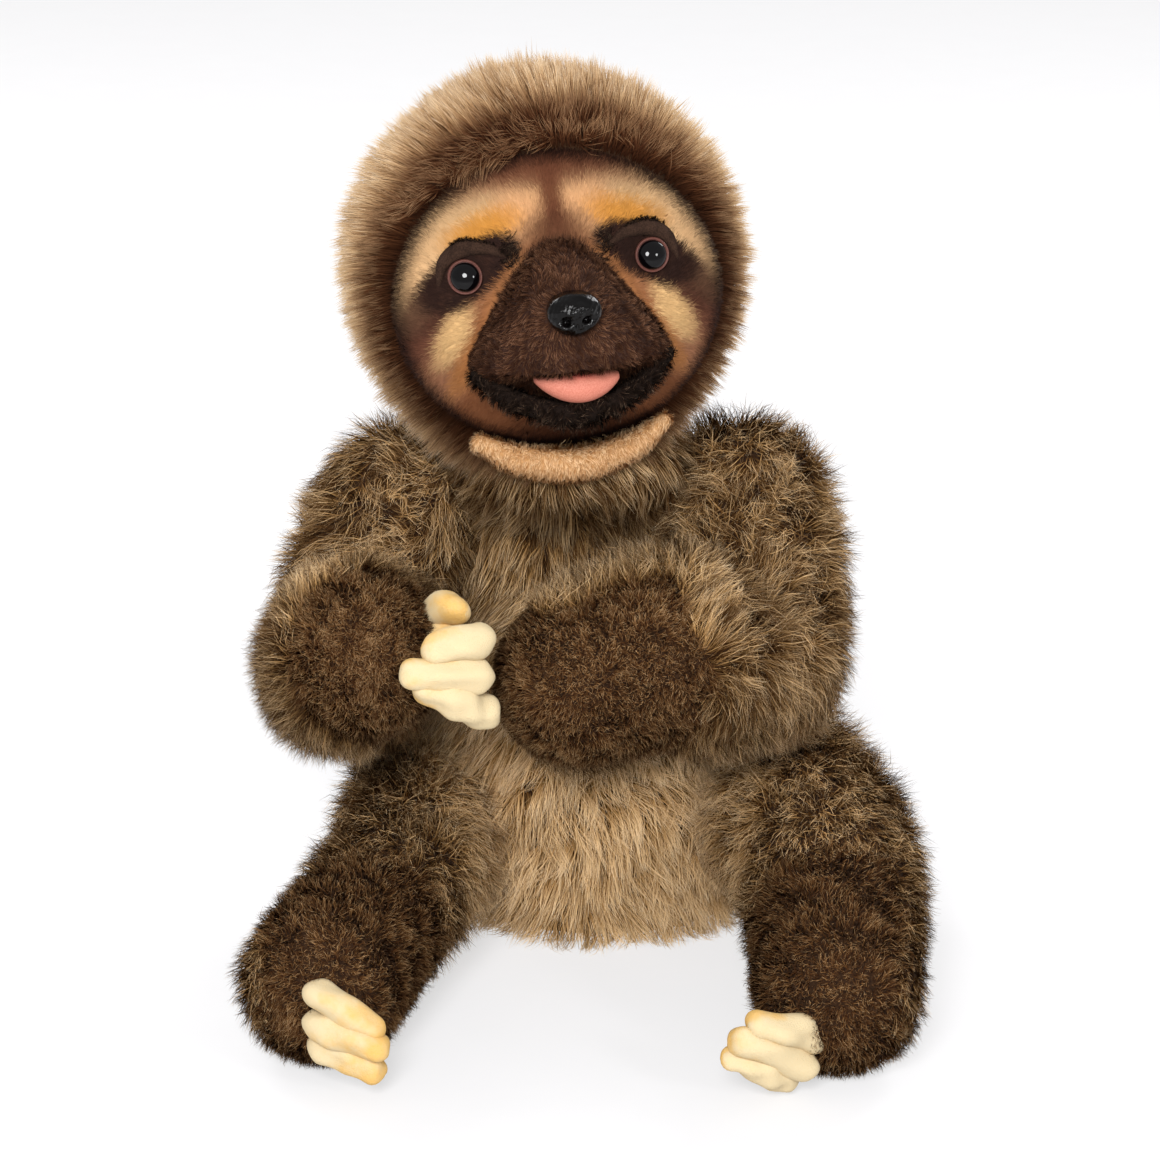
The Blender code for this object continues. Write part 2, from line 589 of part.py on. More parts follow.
def build_head():
    """The hood, the stuffed face and everything sewn or plugged into it."""
    head = head_frame()
    pivot = head.translation
    polar = np.linspace(0.04, 0.96, 13) * np.pi
    swell = (NECK_REACH - HOOD_RADIUS) * np.clip(-np.cos(polar), 0, 1) ** NECK_SWELL_POWER
    radii = HOOD_RADIUS + swell
    profile = np.stack([radii * np.sin(polar), radii * np.cos(polar)], 1)
    hood = turned("head_hood", profile, head, "hood_fur", 26, pivot=pivot)
    seat = facing(0.0, FACE_SEAT, -FACE_DROP)
    oval = (1.0, FACE_HEIGHT_SHARE)
    face = turned("face_panel", face_profile(), seat, "face_velour", 28, oval, pivot)
    opening = FACE_RADIUS + GAP
    cut(hood, turned("face_opening", rod_profile(opening, -GAP, HOOD_RADIUS), seat, sides=28, squash=oval))

    muzzle = skin("muzzle", muzzle_points(), "dark_suede", pivot)
    face_room = settled("face_room", turned("face_room_base", face_profile(GAP), seat, sides=28, squash=oval))
    cut(muzzle, face_room)

    lip = lip_knots(LIP_HALF_WIDTH, LIP_DROP, LIP_DEPTH, LIP_END_DROP, LIP_END_DEPTH)
    lip_radii = [LIP_RADIUS * s for s in (0.75, 1.0, 1.1, 1.0, 0.75)]
    lower_lip = tube("lower_lip", lip, lip_radii, (0, -1, 0), "dark_suede", pivot, 13, 8)
    muzzle_room = skin("muzzle_room", muzzle_points(GAP))
    cut(lower_lip, face_room, muzzle_room)

    tongue_frame = facing(0.0, TONGUE_FRONT - TONGUE_DEPTH / 2, -TONGUE_DROP)
    polar = np.linspace(0.08, 0.92, 6) * np.pi
    half = TONGUE_DEPTH / 2
    section = np.stack([half * np.sin(polar), half * np.cos(polar)], 1)
    shape = (TONGUE_WIDTH / TONGUE_DEPTH, TONGUE_HEIGHT / TONGUE_DEPTH)
    tongue = turned("tongue", section, tongue_frame, "tongue_felt", 16, shape, pivot)
    lip_room = tube("lip_room", lip, lip_radii, (0, -1, 0), rings=13, sides=8, lift=GAP)
    cut(tongue, lip_room)
    spread = [(r + GAP * math.sin(p), z + GAP * math.cos(p)) for (r, z), p in zip(section, polar)]
    cut(muzzle, turned("tongue_slot", spread, tongue_frame, sides=16, squash=shape))

    nose_frame = facing(0.0, MUZZLE_REACH, 0.0)
    half = NOSE_DEPTH / 2
    polar = np.linspace(0.08, 0.72, 6) * np.pi
    tip = [(NOSE_WIDTH / 2 * math.sin(p), half * math.cos(p)) for p in polar]
    flat = tip[-1][1]
    thin, foot = NOSE_STEM_RADIUS, -NOSE_STEM_LENGTH
    stem = [(thin, flat), (thin, foot), (thin / 2, foot)]
    shape = (1.0, NOSE_HEIGHT / NOSE_WIDTH)
    turned("nose", tip + stem, nose_frame, "nose_black", 16, shape, pivot)
    room = [(NOSE_WIDTH / 2 + GAP, OVERRUN), (NOSE_WIDTH / 2 + GAP, flat - GAP)]
    hole = NOSE_STEM_RADIUS + GAP
    room = [(hole, OVERRUN)] + room + [(hole, flat - GAP), (hole, -NOSE_STEM_LENGTH - GAP)]
    room += [(hole / 2, -NOSE_STEM_LENGTH - GAP)]
    cut(muzzle, turned("nose_seat", room, nose_frame, sides=16, squash=shape))

    strip = lip_knots(
        CHIN_STRIP_HALF_WIDTH, CHIN_STRIP_DROP, CHIN_STRIP_DEPTH, CHIN_STRIP_END_DROP, CHIN_STRIP_END_DEPTH
    )
    strip_radii = [CHIN_STRIP_RADIUS * s for s in (0.6, 0.95, 1.1, 0.95, 0.6)]
    chin = tube("chin_strip", strip, strip_radii, (0, -1, 0), "chin_velour", pivot, 13, 8)
    cut(chin, face_room)
    cut(chin, turned("hood_room", profile * (1 + KEEP_ROOM / HOOD_RADIUS), head, sides=26))
    for side, name in ((1, "left"), (-1, "right")):
        build_eye(side, name, face)
    return hood


def build_neck(torso, hood):
    """The turning joint under the head: two discs face to face on a pin with washers."""
    frame = head_frame()
    nest = NECK_REACH + GAP
    cut(torso, ball("head_nest", frame.translation, nest, rings=13, sides=26))
    meet = -NECK_REACH - GAP / 2
    room = NECK_DISC_RADIUS + GAP
    hole = NECK_PIN_RADIUS + GAP
    upper_top = meet + GAP / 2 + NECK_DISC_THICKNESS
    lower_foot = meet - GAP / 2 - NECK_DISC_THICKNESS
    upper = ring_profile(hole, NECK_DISC_RADIUS, meet + GAP / 2, upper_top)
    lower = ring_profile(hole, NECK_DISC_RADIUS, lower_foot, meet - GAP / 2)
    turned("neck_disc_upper", upper, frame, "fibreboard", 24, loop=True, pivot=frame.translation)
    turned("neck_disc_lower", lower, frame, "fibreboard", 24, loop=True)
    low = upper_top + GAP
    high = low + NECK_WASHER_THICKNESS
    washer = ring_profile(hole, NECK_WASHER_RADIUS, low, high)
    turned("neck_washer_upper", washer, frame, "steel", 16, loop=True, pivot=frame.translation)
    head_low = high + GAP
    head_high = head_low + NECK_PIN_HEAD_HEIGHT
    washer_high = lower_foot - GAP
    washer_low = washer_high - NECK_WASHER_THICKNESS
    washer = ring_profile(hole, NECK_WASHER_RADIUS, washer_low, washer_high)
    turned("neck_washer_lower", washer, frame, "steel", 16, loop=True)
    tail_high = washer_low - GAP
    tail_low = tail_high - NECK_PIN_TAIL
    wide, thin = NECK_PIN_HEAD_RADIUS, NECK_PIN_RADIUS
    pin = [(wide / 2, head_high), (wide, head_high), (wide, head_low), (thin, head_low)]
    pin += [(thin, tail_high), (wide, tail_high), (wide, tail_low), (wide / 2, tail_low)]
    turned("neck_pin", pin, frame, "steel", 12)
    cut(hood, turned("upper_pocket", rod_profile(room, -NECK_REACH - OVERRUN, head_high + GAP), frame))
    pocket = rod_profile(room, tail_low - GAP, -HOOD_RADIUS + OVERRUN)
    cut(torso, turned("lower_pocket", pocket, frame))


# Limbs


def shoulder_place(pose):
    """A shoulder's centre, level with the other and shifted by the pose."""
    middle = torso_centre(SHOULDER_HEIGHT)
    reach = pose["side"] * SHOULDER_SPREAD * (1 + pose["side"] * pose["shoulder_shift_share"])
    return middle + (reach, -SHOULDER_FORWARD, 0)


def hip_place(pose):
    """A hip's centre; one hip is a little ahead of the other."""
    middle = torso_centre(HIP_HEIGHT)
    reach = pose["side"] * HIP_SPREAD * (1 + pose["side"] * pose["hip_shift_share"])
    return middle + (reach, -HIP_FORWARD * (1 + pose["hip_step_share"]), 0)


def clear_of(limb, parent_room, pivot, radius, swing):
    """Clears a limb of its parent over the joint's travel, but for the ball in the parent's nest."""
    axis, travel = swing
    cut(parent_room, ball(f"{limb.name}_keep", pivot, radius + KEEP_ROOM))
    room = settled(f"{limb.name}_room", parent_room)
    for degrees in np.linspace(0, travel, SWING_STEPS):
        cut(limb, swung(room, pivot, axis, degrees))


def claw(name, centre, radius, shares, pivot, rooms):
    """One stuffed claw from inside a paw to its blunt, slightly hooked tip; gives the room it takes."""
    base, tip = (centre + radius * np.array(s) for s in shares)
    along = tip - base
    bow = unit(np.cross(along, UP)) * CLAW_RADIUS / 2
    knots = [base, (base + tip) / 2 + bow, tip]
    radii = [CLAW_RADIUS, CLAW_RADIUS, CLAW_TIP_RADIUS]
    cut(tube(name, knots, radii, (0.1, 0.2, 1), "cream_velour", pivot, 9, 8), *rooms)
    return tube(f"{name}_room", knots, radii, (0.1, 0.2, 1), rings=9, sides=8, lift=GAP)


def torso_room(name):
    """A hidden copy of the torso with a gap around it."""
    return torso_skin(name, lift=KEEP_ROOM, sides=20)


def build_arm(name, pose, torso):
    """Upper arm, forearm with its palm and claws, and the wire through them."""
    shoulder = shoulder_place(pose)
    elbow = shoulder + UPPER_ARM_LENGTH * unit(pose["upper_arm_shares"])
    paw = elbow + FOREARM_LENGTH * unit(pose["forearm_shares"])
    front = (0.0, -1.0, 0.25) if name == "left" else (0.0, 0.0, 1.0)
    upper_knots = [shoulder, (shoulder + elbow) / 2, elbow]
    upper_radii = [SHOULDER_RADIUS, SHOULDER_RADIUS, ELBOW_RADIUS * UPPER_END_SHARE]
    upper = tube(f"{name}_upper_arm", upper_knots, upper_radii, (1, 0, 0), "long_fur", shoulder)
    cut(torso, ball(f"{name}_shoulder_nest", shoulder, SHOULDER_RADIUS + NEST_ROOM))
    cut(upper, ball(f"{name}_elbow_nest", elbow, ELBOW_RADIUS + NEST_ROOM))
    clear_of(upper, torso_room(f"{name}_shoulder_room"), shoulder, SHOULDER_RADIUS, pose["arm_swing"])

    fore_knots = [elbow, (elbow + paw) / 2, paw]
    fore_radii = [ELBOW_RADIUS, ELBOW_RADIUS * FOREARM_SWELL_SHARE, PAW_RADIUS]
    forearm = tube(f"{name}_forearm", fore_knots, fore_radii, front, "long_fur", elbow)
    upper_room = tube(f"{name}_upper_room", upper_knots, upper_radii, (1, 0, 0), lift=KEEP_ROOM)
    clear_of(forearm, upper_room, elbow, ELBOW_RADIUS, pose["elbow_swing"])
    if "palm_shares" in pose:
        end_pad(f"{name}_palm", paw, PAW_RADIUS, pose["palm_shares"], PALM_HALF_DEG, elbow)
    else:
        spans = (PALM_LENGTH_SHARE, math.radians(PALM_HALF_DEG))
        pad_on(f"{name}_palm", fore_knots, fore_radii, front, (PALM_PLACE_SHARE, 0.0), spans, elbow)
    rooms = [tube(f"{name}_paw_room", fore_knots, fore_radii, front, lift=GAP)]
    for number, shares in enumerate(pose["hand_claw_shares"], 1):
        rooms.append(claw(f"{name}_hand_claw_{number}", paw, PAW_RADIUS, shares, elbow, rooms))

    inward = np.array([-pose["side"], 0, 0]) * (SHOULDER_RADIUS + WIRE_ANCHOR_DEPTH)
    tip = paw + (paw - elbow) * WIRE_END_SHARE
    knots = [shoulder + inward, shoulder, elbow, tip]
    wire(f"{name}_arm_wire", knots, "steel")
    bore = wire(f"{name}_arm_bore", knots, radius=WIRE_RADIUS + BORE_ROOM)
    for body in (torso, upper, forearm):
        cut(body, bore)


def build_leg(name, pose, torso):
    """A stuffed leg with its sole and claws, and the wire through it."""
    hip = hip_place(pose)
    foot = hip + LEG_LENGTH * unit(pose["leg_shares"])
    foot[2] = FOOT_RADIUS - FLOOR_CUT
    knee = (hip + foot) / 2 + LEG_LENGTH * np.array(pose["knee_bow_shares"])
    knots = [hip, knee, foot]
    radii = [HIP_RADIUS, KNEE_RADIUS, FOOT_RADIUS]
    leg = tube(f"{name}_leg", knots, radii, (0, 0, 1), "long_fur", hip)
    cut(torso, ball(f"{name}_hip_nest", hip, HIP_RADIUS + NEST_ROOM))
    clear_of(leg, torso_room(f"{name}_hip_room"), hip, HIP_RADIUS, pose["hip_swing"])
    far = LEG_LENGTH + HIP_RADIUS + FOOT_RADIUS
    floor = rod_profile(far, -OVERRUN, 0.0)
    cut(leg, turned(f"{name}_leg_floor", floor, Matrix.Translation(Vector((hip[0], hip[1], 0))), sides=12))
    end_pad(f"{name}_sole", foot, FOOT_RADIUS, pose["sole_shares"], SOLE_HALF_DEG, hip)
    rooms = [tube(f"{name}_foot_room", knots, radii, (0, 0, 1), lift=GAP)]
    for number, shares in enumerate(pose["foot_claw_shares"], 1):
        rooms.append(claw(f"{name}_foot_claw_{number}", foot, FOOT_RADIUS, shares, hip, rooms))

    inward = np.array([-pose["side"], 0, 0]) * (HIP_RADIUS + WIRE_ANCHOR_DEPTH)
    tip = foot + (foot - knee) * WIRE_END_SHARE
    wire_knots = [hip + inward, hip, knee, tip]
    wire(f"{name}_leg_wire", wire_knots, "steel")
    bore = wire(f"{name}_leg_bore", wire_knots, radius=WIRE_RADIUS + BORE_ROOM)
    for body in (torso, leg):
        cut(body, bore)


def main():
    for old in list(bpy.data.objects):
        bpy.data.objects.remove(old, do_unlink=True)
    torso = build_torso()
    hood = build_head()
    build_neck(torso, hood)
    for name, pose in SIDES.items():
        build_arm(name, pose, torso)
        build_leg(name, pose, torso)


main()
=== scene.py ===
"""The plush sloth's looks: skins, pile, painted face, claws, eyes and nose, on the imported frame.

Metres, +Z up. The sloth faces -Y and its own left side is +X. Places on the face are
(left, forward, up) in the head's own frame.
"""

import json
import math

import bpy
import numpy as np
from mathutils import Matrix, Vector


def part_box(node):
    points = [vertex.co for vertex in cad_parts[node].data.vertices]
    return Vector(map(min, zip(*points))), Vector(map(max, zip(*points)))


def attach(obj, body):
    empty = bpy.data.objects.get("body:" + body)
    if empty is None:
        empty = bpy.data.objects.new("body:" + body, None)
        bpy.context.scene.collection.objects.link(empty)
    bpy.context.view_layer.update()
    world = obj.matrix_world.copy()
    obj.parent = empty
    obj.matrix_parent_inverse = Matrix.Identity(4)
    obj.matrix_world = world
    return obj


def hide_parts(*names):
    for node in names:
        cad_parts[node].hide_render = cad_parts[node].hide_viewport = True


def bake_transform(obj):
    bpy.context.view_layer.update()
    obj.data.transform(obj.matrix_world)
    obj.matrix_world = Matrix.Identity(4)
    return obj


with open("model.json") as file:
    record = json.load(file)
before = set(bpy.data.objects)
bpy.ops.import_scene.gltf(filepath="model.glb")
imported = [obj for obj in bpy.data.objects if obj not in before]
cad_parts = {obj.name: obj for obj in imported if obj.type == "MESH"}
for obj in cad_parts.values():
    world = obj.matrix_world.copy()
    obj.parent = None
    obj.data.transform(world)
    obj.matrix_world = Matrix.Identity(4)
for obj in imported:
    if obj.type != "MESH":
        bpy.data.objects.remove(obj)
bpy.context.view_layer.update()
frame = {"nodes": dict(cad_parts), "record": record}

MM = 0.001
BAKE_MAP = "OFBake"


# Small helpers


def unit(vectors):
    """Vectors divided by their own length."""
    vectors = np.asarray(vectors, float)
    return vectors / np.maximum(np.linalg.norm(vectors, axis=-1, keepdims=True), 1e-12)


def dot(a, b):
    """The sum of the products of two vectors' parts, kept as a column."""
    return np.sum(np.asarray(a) * np.asarray(b), axis=-1, keepdims=True)


def ease(x, low, high):
    """0 below low, 1 above high, and 3t^2 - 2t^3 between, where t is x's share of the way."""
    t = np.clip((np.asarray(x, float) - low) / (high - low), 0, 1)
    return t * t * (3 - 2 * t)


def through(knots, share):
    """Points of a Catmull-Rom curve through the knots, for shares 0 to 1 of its run."""
    knots = np.asarray(knots, float).reshape(len(knots), -1)
    spans = len(knots) - 1
    padded = np.vstack([2 * knots[0] - knots[1], knots, 2 * knots[-1] - knots[-2]])
    place = np.clip(share, 0, 1) * spans
    first = np.minimum(place.astype(int), spans - 1)
    step = (place - first)[..., None]
    a, b, c, d = (padded[first + k] for k in range(4))
    return b + step / 2 * (c - a + step * (2 * a - 5 * b + 4 * c - d + step * (3 * (b - c) + d - a)))


def ink(red, green, blue):
    """A display colour of 0 to 255 as the linear colour that a shader takes."""
    shares = np.array([red, green, blue]) / 255
    linear = np.where(shares <= 0.04045, shares / 12.92, ((shares + 0.055) / 1.055) ** 2.4)
    return (*linear.tolist(), 1.0)


# Materials


class Socket:
    """A socket of a material's tree, so that shader maths is written as sums."""

    def __init__(self, dye, socket):
        self.dye, self.socket = dye, socket

    def maths(self, operation, *values):
        return self.dye.node("ShaderNodeMath", {"operation": operation}, dict(enumerate(values)))

    def __add__(self, other):
        return self.maths("ADD", self, other)

    def __sub__(self, other):
        return self.maths("SUBTRACT", self, other)

    def __rsub__(self, other):
        return self.maths("SUBTRACT", other, self)

    def __mul__(self, other):
        return self.maths("MULTIPLY", self, other)

    def __truediv__(self, other):
        return self.maths("DIVIDE", self, other)

    def __pow__(self, other):
        return self.maths("POWER", self, other)

    __radd__, __rmul__ = __add__, __mul__

    def size(self):
        return self.maths("ABSOLUTE", self)

    def least(self, other):
        return self.maths("MINIMUM", self, other)

    def most(self, other):
        return self.maths("MAXIMUM", self, other)

    def ramp(self, low, high):
        """0 at low and 1 at high, with a smooth step between."""
        settings = {"interpolation_type": "SMOOTHSTEP"}
        return self.dye.node("ShaderNodeMapRange", settings, {0: self, 1: low, 2: high, 3: 0.0, 4: 1.0})


class Dye:
    """One material, and the way to add nodes to it."""

    def __init__(self, name):
        self.material = bpy.data.materials.new(name)
        self.material.use_nodes = True
        self.tree = self.material.node_tree
        self.tree.nodes.clear()

    def node(self, kind, settings=None, sockets=None, out=0):
        """Adds a node of a type: its settings first, then values or links for its sockets."""
        made = self.tree.nodes.new(kind)
        for key, value in (settings or {}).items():
            if key == "stops":
                run = made.color_ramp.elements
                while len(run) < len(value):
                    run.new(0.5)
                for stop, (place, colour) in zip(run, value):
                    stop.position, stop.color = place, colour
            else:
                setattr(made, key, value)
        for key, value in (sockets or {}).items():
            if isinstance(value, Socket):
                self.tree.links.new(value.socket, made.inputs[key])
            else:
                made.inputs[key].default_value = value
        return Socket(self, made.outputs[out])

    def mix(self, share, first, second):
        """The first colour where the share is 0 and the second where it is 1."""
        return self.node("ShaderNodeMix", {"data_type": "RGBA"}, {0: share, 6: first, 7: second}, 2)

    def run(self, place, stops):
        return self.node("ShaderNodeValToRGB", {"stops": stops}, {0: place})

    def noise(self, vector, scale, detail=3.0, roughness=0.55):
        sockets = {"Vector": vector, "Scale": scale, "Detail": detail, "Roughness": roughness}
        return self.node("ShaderNodeTexNoise", {}, sockets)

    def places(self):
        """Object coordinates, in metres."""
        return self.node("ShaderNodeTexCoord", out=3)

    def map(self):
        """The piece's own map."""
        return self.node("ShaderNodeUVMap", {"uv_map": BAKE_MAP})

    def parts(self, vector):
        """A vector's X, Y and Z."""
        made = self.node("ShaderNodeSeparateXYZ", {}, {0: vector})
        outputs = made.socket.node.outputs
        return [Socket(self, o) for o in outputs]

    def bump(self, height, distance):
        """Lifts the surface by a height of 0 to 1 times a distance in metres."""
        return self.node("ShaderNodeBump", {}, {"Height": height, "Distance": distance, "Strength": 1.0})

    def surface(self, sockets):
        """The Principled surface, joined to the material's output."""
        shader = self.node("ShaderNodeBsdfPrincipled", {}, sockets)
        made = self.tree.nodes.new("ShaderNodeOutputMaterial")
        self.tree.links.new(shader.socket, made.inputs["Surface"])
        return self.material


def pile_dye(name, dark_run, light_run):
    """Pile whose colour goes from root to tip along U, and from its dark strands to its light along V."""
    dye = Dye(name)
    root_to_tip, shade, _ = dye.parts(dye.map())
    colour = dye.mix(shade, dye.run(root_to_tip, dark_run), dye.run(root_to_tip, light_run))
    return dye.surface({"Base Color": colour, "Roughness": 0.85, "Specular IOR Level": 0.03})


def backing_dye(name, dark, light, scale=900.0):
    """The knitted backing under the pile: a fine mottle of two browns with a small bump."""
    dye = Dye(name)
    place = dye.places()
    mottle = dye.noise(place, scale)
    patch = dye.noise(place, scale / 12)
    colour = dye.mix((mottle * 0.6 + patch * 0.4).ramp(0.35, 0.65), dark, light)
    return dye.surface(
        {
            "Base Color": colour,
            "Roughness": 0.95,
            "Specular IOR Level": 0.1,
            "Normal": dye.bump(mottle, 0.4 * MM),
        }
    )


def fitting_dye(name, dark, light, roughness, metallic, scale, depth):
    """Plastic, board or steel: a fine mottle in colour and roughness, with a small bump."""
    dye = Dye(name)
    grain = dye.noise(dye.places(), scale)
    return dye.surface(
        {
            "Base Color": dye.mix(grain.ramp(0.35, 0.65), dark, light),
            "Roughness": grain * 0.15 + roughness,
            "Metallic": metallic,
            "Normal": dye.bump(grain, depth),
        }
    )


# Meshes


def new_piece(name, points, corners, uvs, material, normals=None):
    """A mesh from whole arrays: points, triangles and one map place for each corner."""
    mesh = bpy.data.meshes.new(name)
    mesh.vertices.add(len(points))
    mesh.vertices.foreach_set("co", np.ascontiguousarray(points, np.float32).ravel())
    mesh.loops.add(corners.size)
    mesh.loops.foreach_set("vertex_index", np.ascontiguousarray(corners, np.int32).ravel())
    mesh.polygons.add(len(corners))
    mesh.polygons.foreach_set("loop_start", np.arange(len(corners), dtype=np.int32) * corners.shape[1])
    mesh.update(calc_edges=True)
    places = np.ascontiguousarray(uvs, np.float32).ravel()
    mesh.uv_layers.new(name=BAKE_MAP).uv.foreach_set("vector", places)
    mesh.shade_smooth()
    if normals is not None:
        mesh.normals_split_custom_set_from_vertices(np.asarray(normals, np.float32))
    mesh.materials.append(material)
    made = bpy.data.objects.new(name, mesh)
    bpy.context.scene.collection.objects.link(made)
    return made


def shell(name, grid, material):
    """A closed surface over a grid of points whose columns wrap round and whose ends close in poles.

    The map's U is the row's share of the way along and V is the column's share of the way round.
    """
    grid = np.asarray(grid, float)
    count, sides = grid.shape[:2]
    rows = np.linspace(0, 1, count + 2)[1:-1]
    index = np.arange(count * sides).reshape(count, sides)
    following = np.roll(index, -1, axis=1)
    one, two = index[:-1], following[:-1]
    three, four = following[1:], index[1:]
    around = np.broadcast_to(np.arange(sides) / sides, one.shape)
    step = 1 / sides
    low, high = (np.broadcast_to(r[:, None], one.shape) for r in (rows[:-1], rows[1:]))
    corner_u = [low, low, high, high]
    corner_v = [around, around + step, around + step, around]
    quads = np.stack([one, two, three, four], -1).reshape(-1, 4)
    quad_uv = np.stack([np.stack(corner_u, -1), np.stack(corner_v, -1)], -1).reshape(-1, 4, 2)
    first = np.concatenate([quads[:, [0, 1, 2]], quads[:, [0, 2, 3]]])
    first_uv = np.concatenate([quad_uv[:, [0, 1, 2]], quad_uv[:, [0, 2, 3]]])
    poles = np.stack([grid[0].mean(0), grid[-1].mean(0)])
    points = np.concatenate([grid.reshape(-1, 3), poles])
    ends, end_uvs = [], []
    closings = ((count * sides, 0, rows[0], 0.0), (count * sides + 1, -1, rows[-1], 1.0))
    for pole, ring, ring_u, pole_u in closings:
        a, b = index[ring], following[ring]
        centre = np.full(sides, pole)
        fan = [centre, b, a] if ring == 0 else [centre, a, b]
        ends.append(np.stack(fan, -1))
        v = np.arange(sides) / sides
        edge_v = [v + step / 2, v + step, v] if ring == 0 else [v + step / 2, v, v + step]
        edge_u = [np.full(sides, pole_u), np.full(sides, ring_u), np.full(sides, ring_u)]
        end_uvs.append(np.stack([np.stack(edge_u, -1), np.stack(edge_v, -1)], -1))
    corners = np.concatenate([first, *ends])
    uvs = np.concatenate([first_uv, *end_uvs])
    middle = points.mean(0)
    a, b, c = (points[corners[:, k]] for k in range(3))
    outward = np.sum(np.cross(b - a, c - a) * (a - middle), axis=-1).sum()
    if outward < 0:
        corners, uvs = corners[:, ::-1], uvs[:, ::-1]
    return new_piece(name, points, corners, uvs, material)


# Pile


def sway(points, seed, wavelength):
    """A smooth wandering vector at each point: a sum of sines of the place along random directions."""
    rng = np.random.default_rng(seed)
    waves = rng.normal(size=(3, 6, 3)) * (2 * np.pi / wavelength / 1.7)
    phases = rng.uniform(0, 2 * np.pi, (3, 6))
    return np.stack([np.sin(points @ waves[k].T + phases[k]).sum(-1) for k in range(3)], -1) / math.sqrt(3)


def nearest(points, centres):
    """For each point, the number of its nearest centre, in blocks of whole arrays."""
    found = np.empty(len(points), int)
    size = (centres**2).sum(-1)
    for start in range(0, len(points), 4000):
        block = points[start : start + 4000]
        found[start : start + 4000] = np.argmin(size - 2 * block @ centres.T, axis=1)
    return found


def scattered(form, count, rng, density=None, window=(0, 1, 0, 1), cells=72):
    """Random roots on a form, as many to the area everywhere but for the density's shares.

    The form's grid of cells is drawn from by area, a root falls anywhere in its cell, and a root
    stays with the density's chance. Gives the roots and the outward normals there.
    """
    a = np.linspace(window[0], window[1], cells + 1)
    b = np.linspace(window[2], window[3], cells + 1)
    grid = form(a[:, None], b[None, :])
    across = grid[1:, :-1] - grid[:-1, :-1]
    along = grid[:-1, 1:] - grid[:-1, :-1]
    area = np.linalg.norm(np.cross(across, along), axis=-1).ravel()
    draws = int(count * 4)
    cell = rng.choice(area.size, draws, p=area / area.sum())
    place_a = a[cell // cells] + rng.random(draws) * (a[1] - a[0])
    place_b = b[cell % cells] + rng.random(draws) * (b[1] - b[0])
    roots = form(place_a, place_b)
    step = 1e-3
    run = form(np.clip(place_a + step, 0, 1), place_b) - form(np.clip(place_a - step, 0, 1), place_b)
    turn = form(place_a, place_b + step) - form(place_a, place_b - step)
    out = form(place_a, place_b, 1 * MM) - roots
    normals = unit(np.cross(run, turn))
    normals = normals * np.sign(dot(normals, out))
    weak = np.linalg.norm(np.cross(run, turn), axis=-1) < 1e-12
    normals[weak] = unit(out[weak])
    if density is not None:
        stay = rng.random(draws) < density(roots, normals)
        roots, normals = roots[stay], normals[stay]
    return roots[:count], normals[:count]


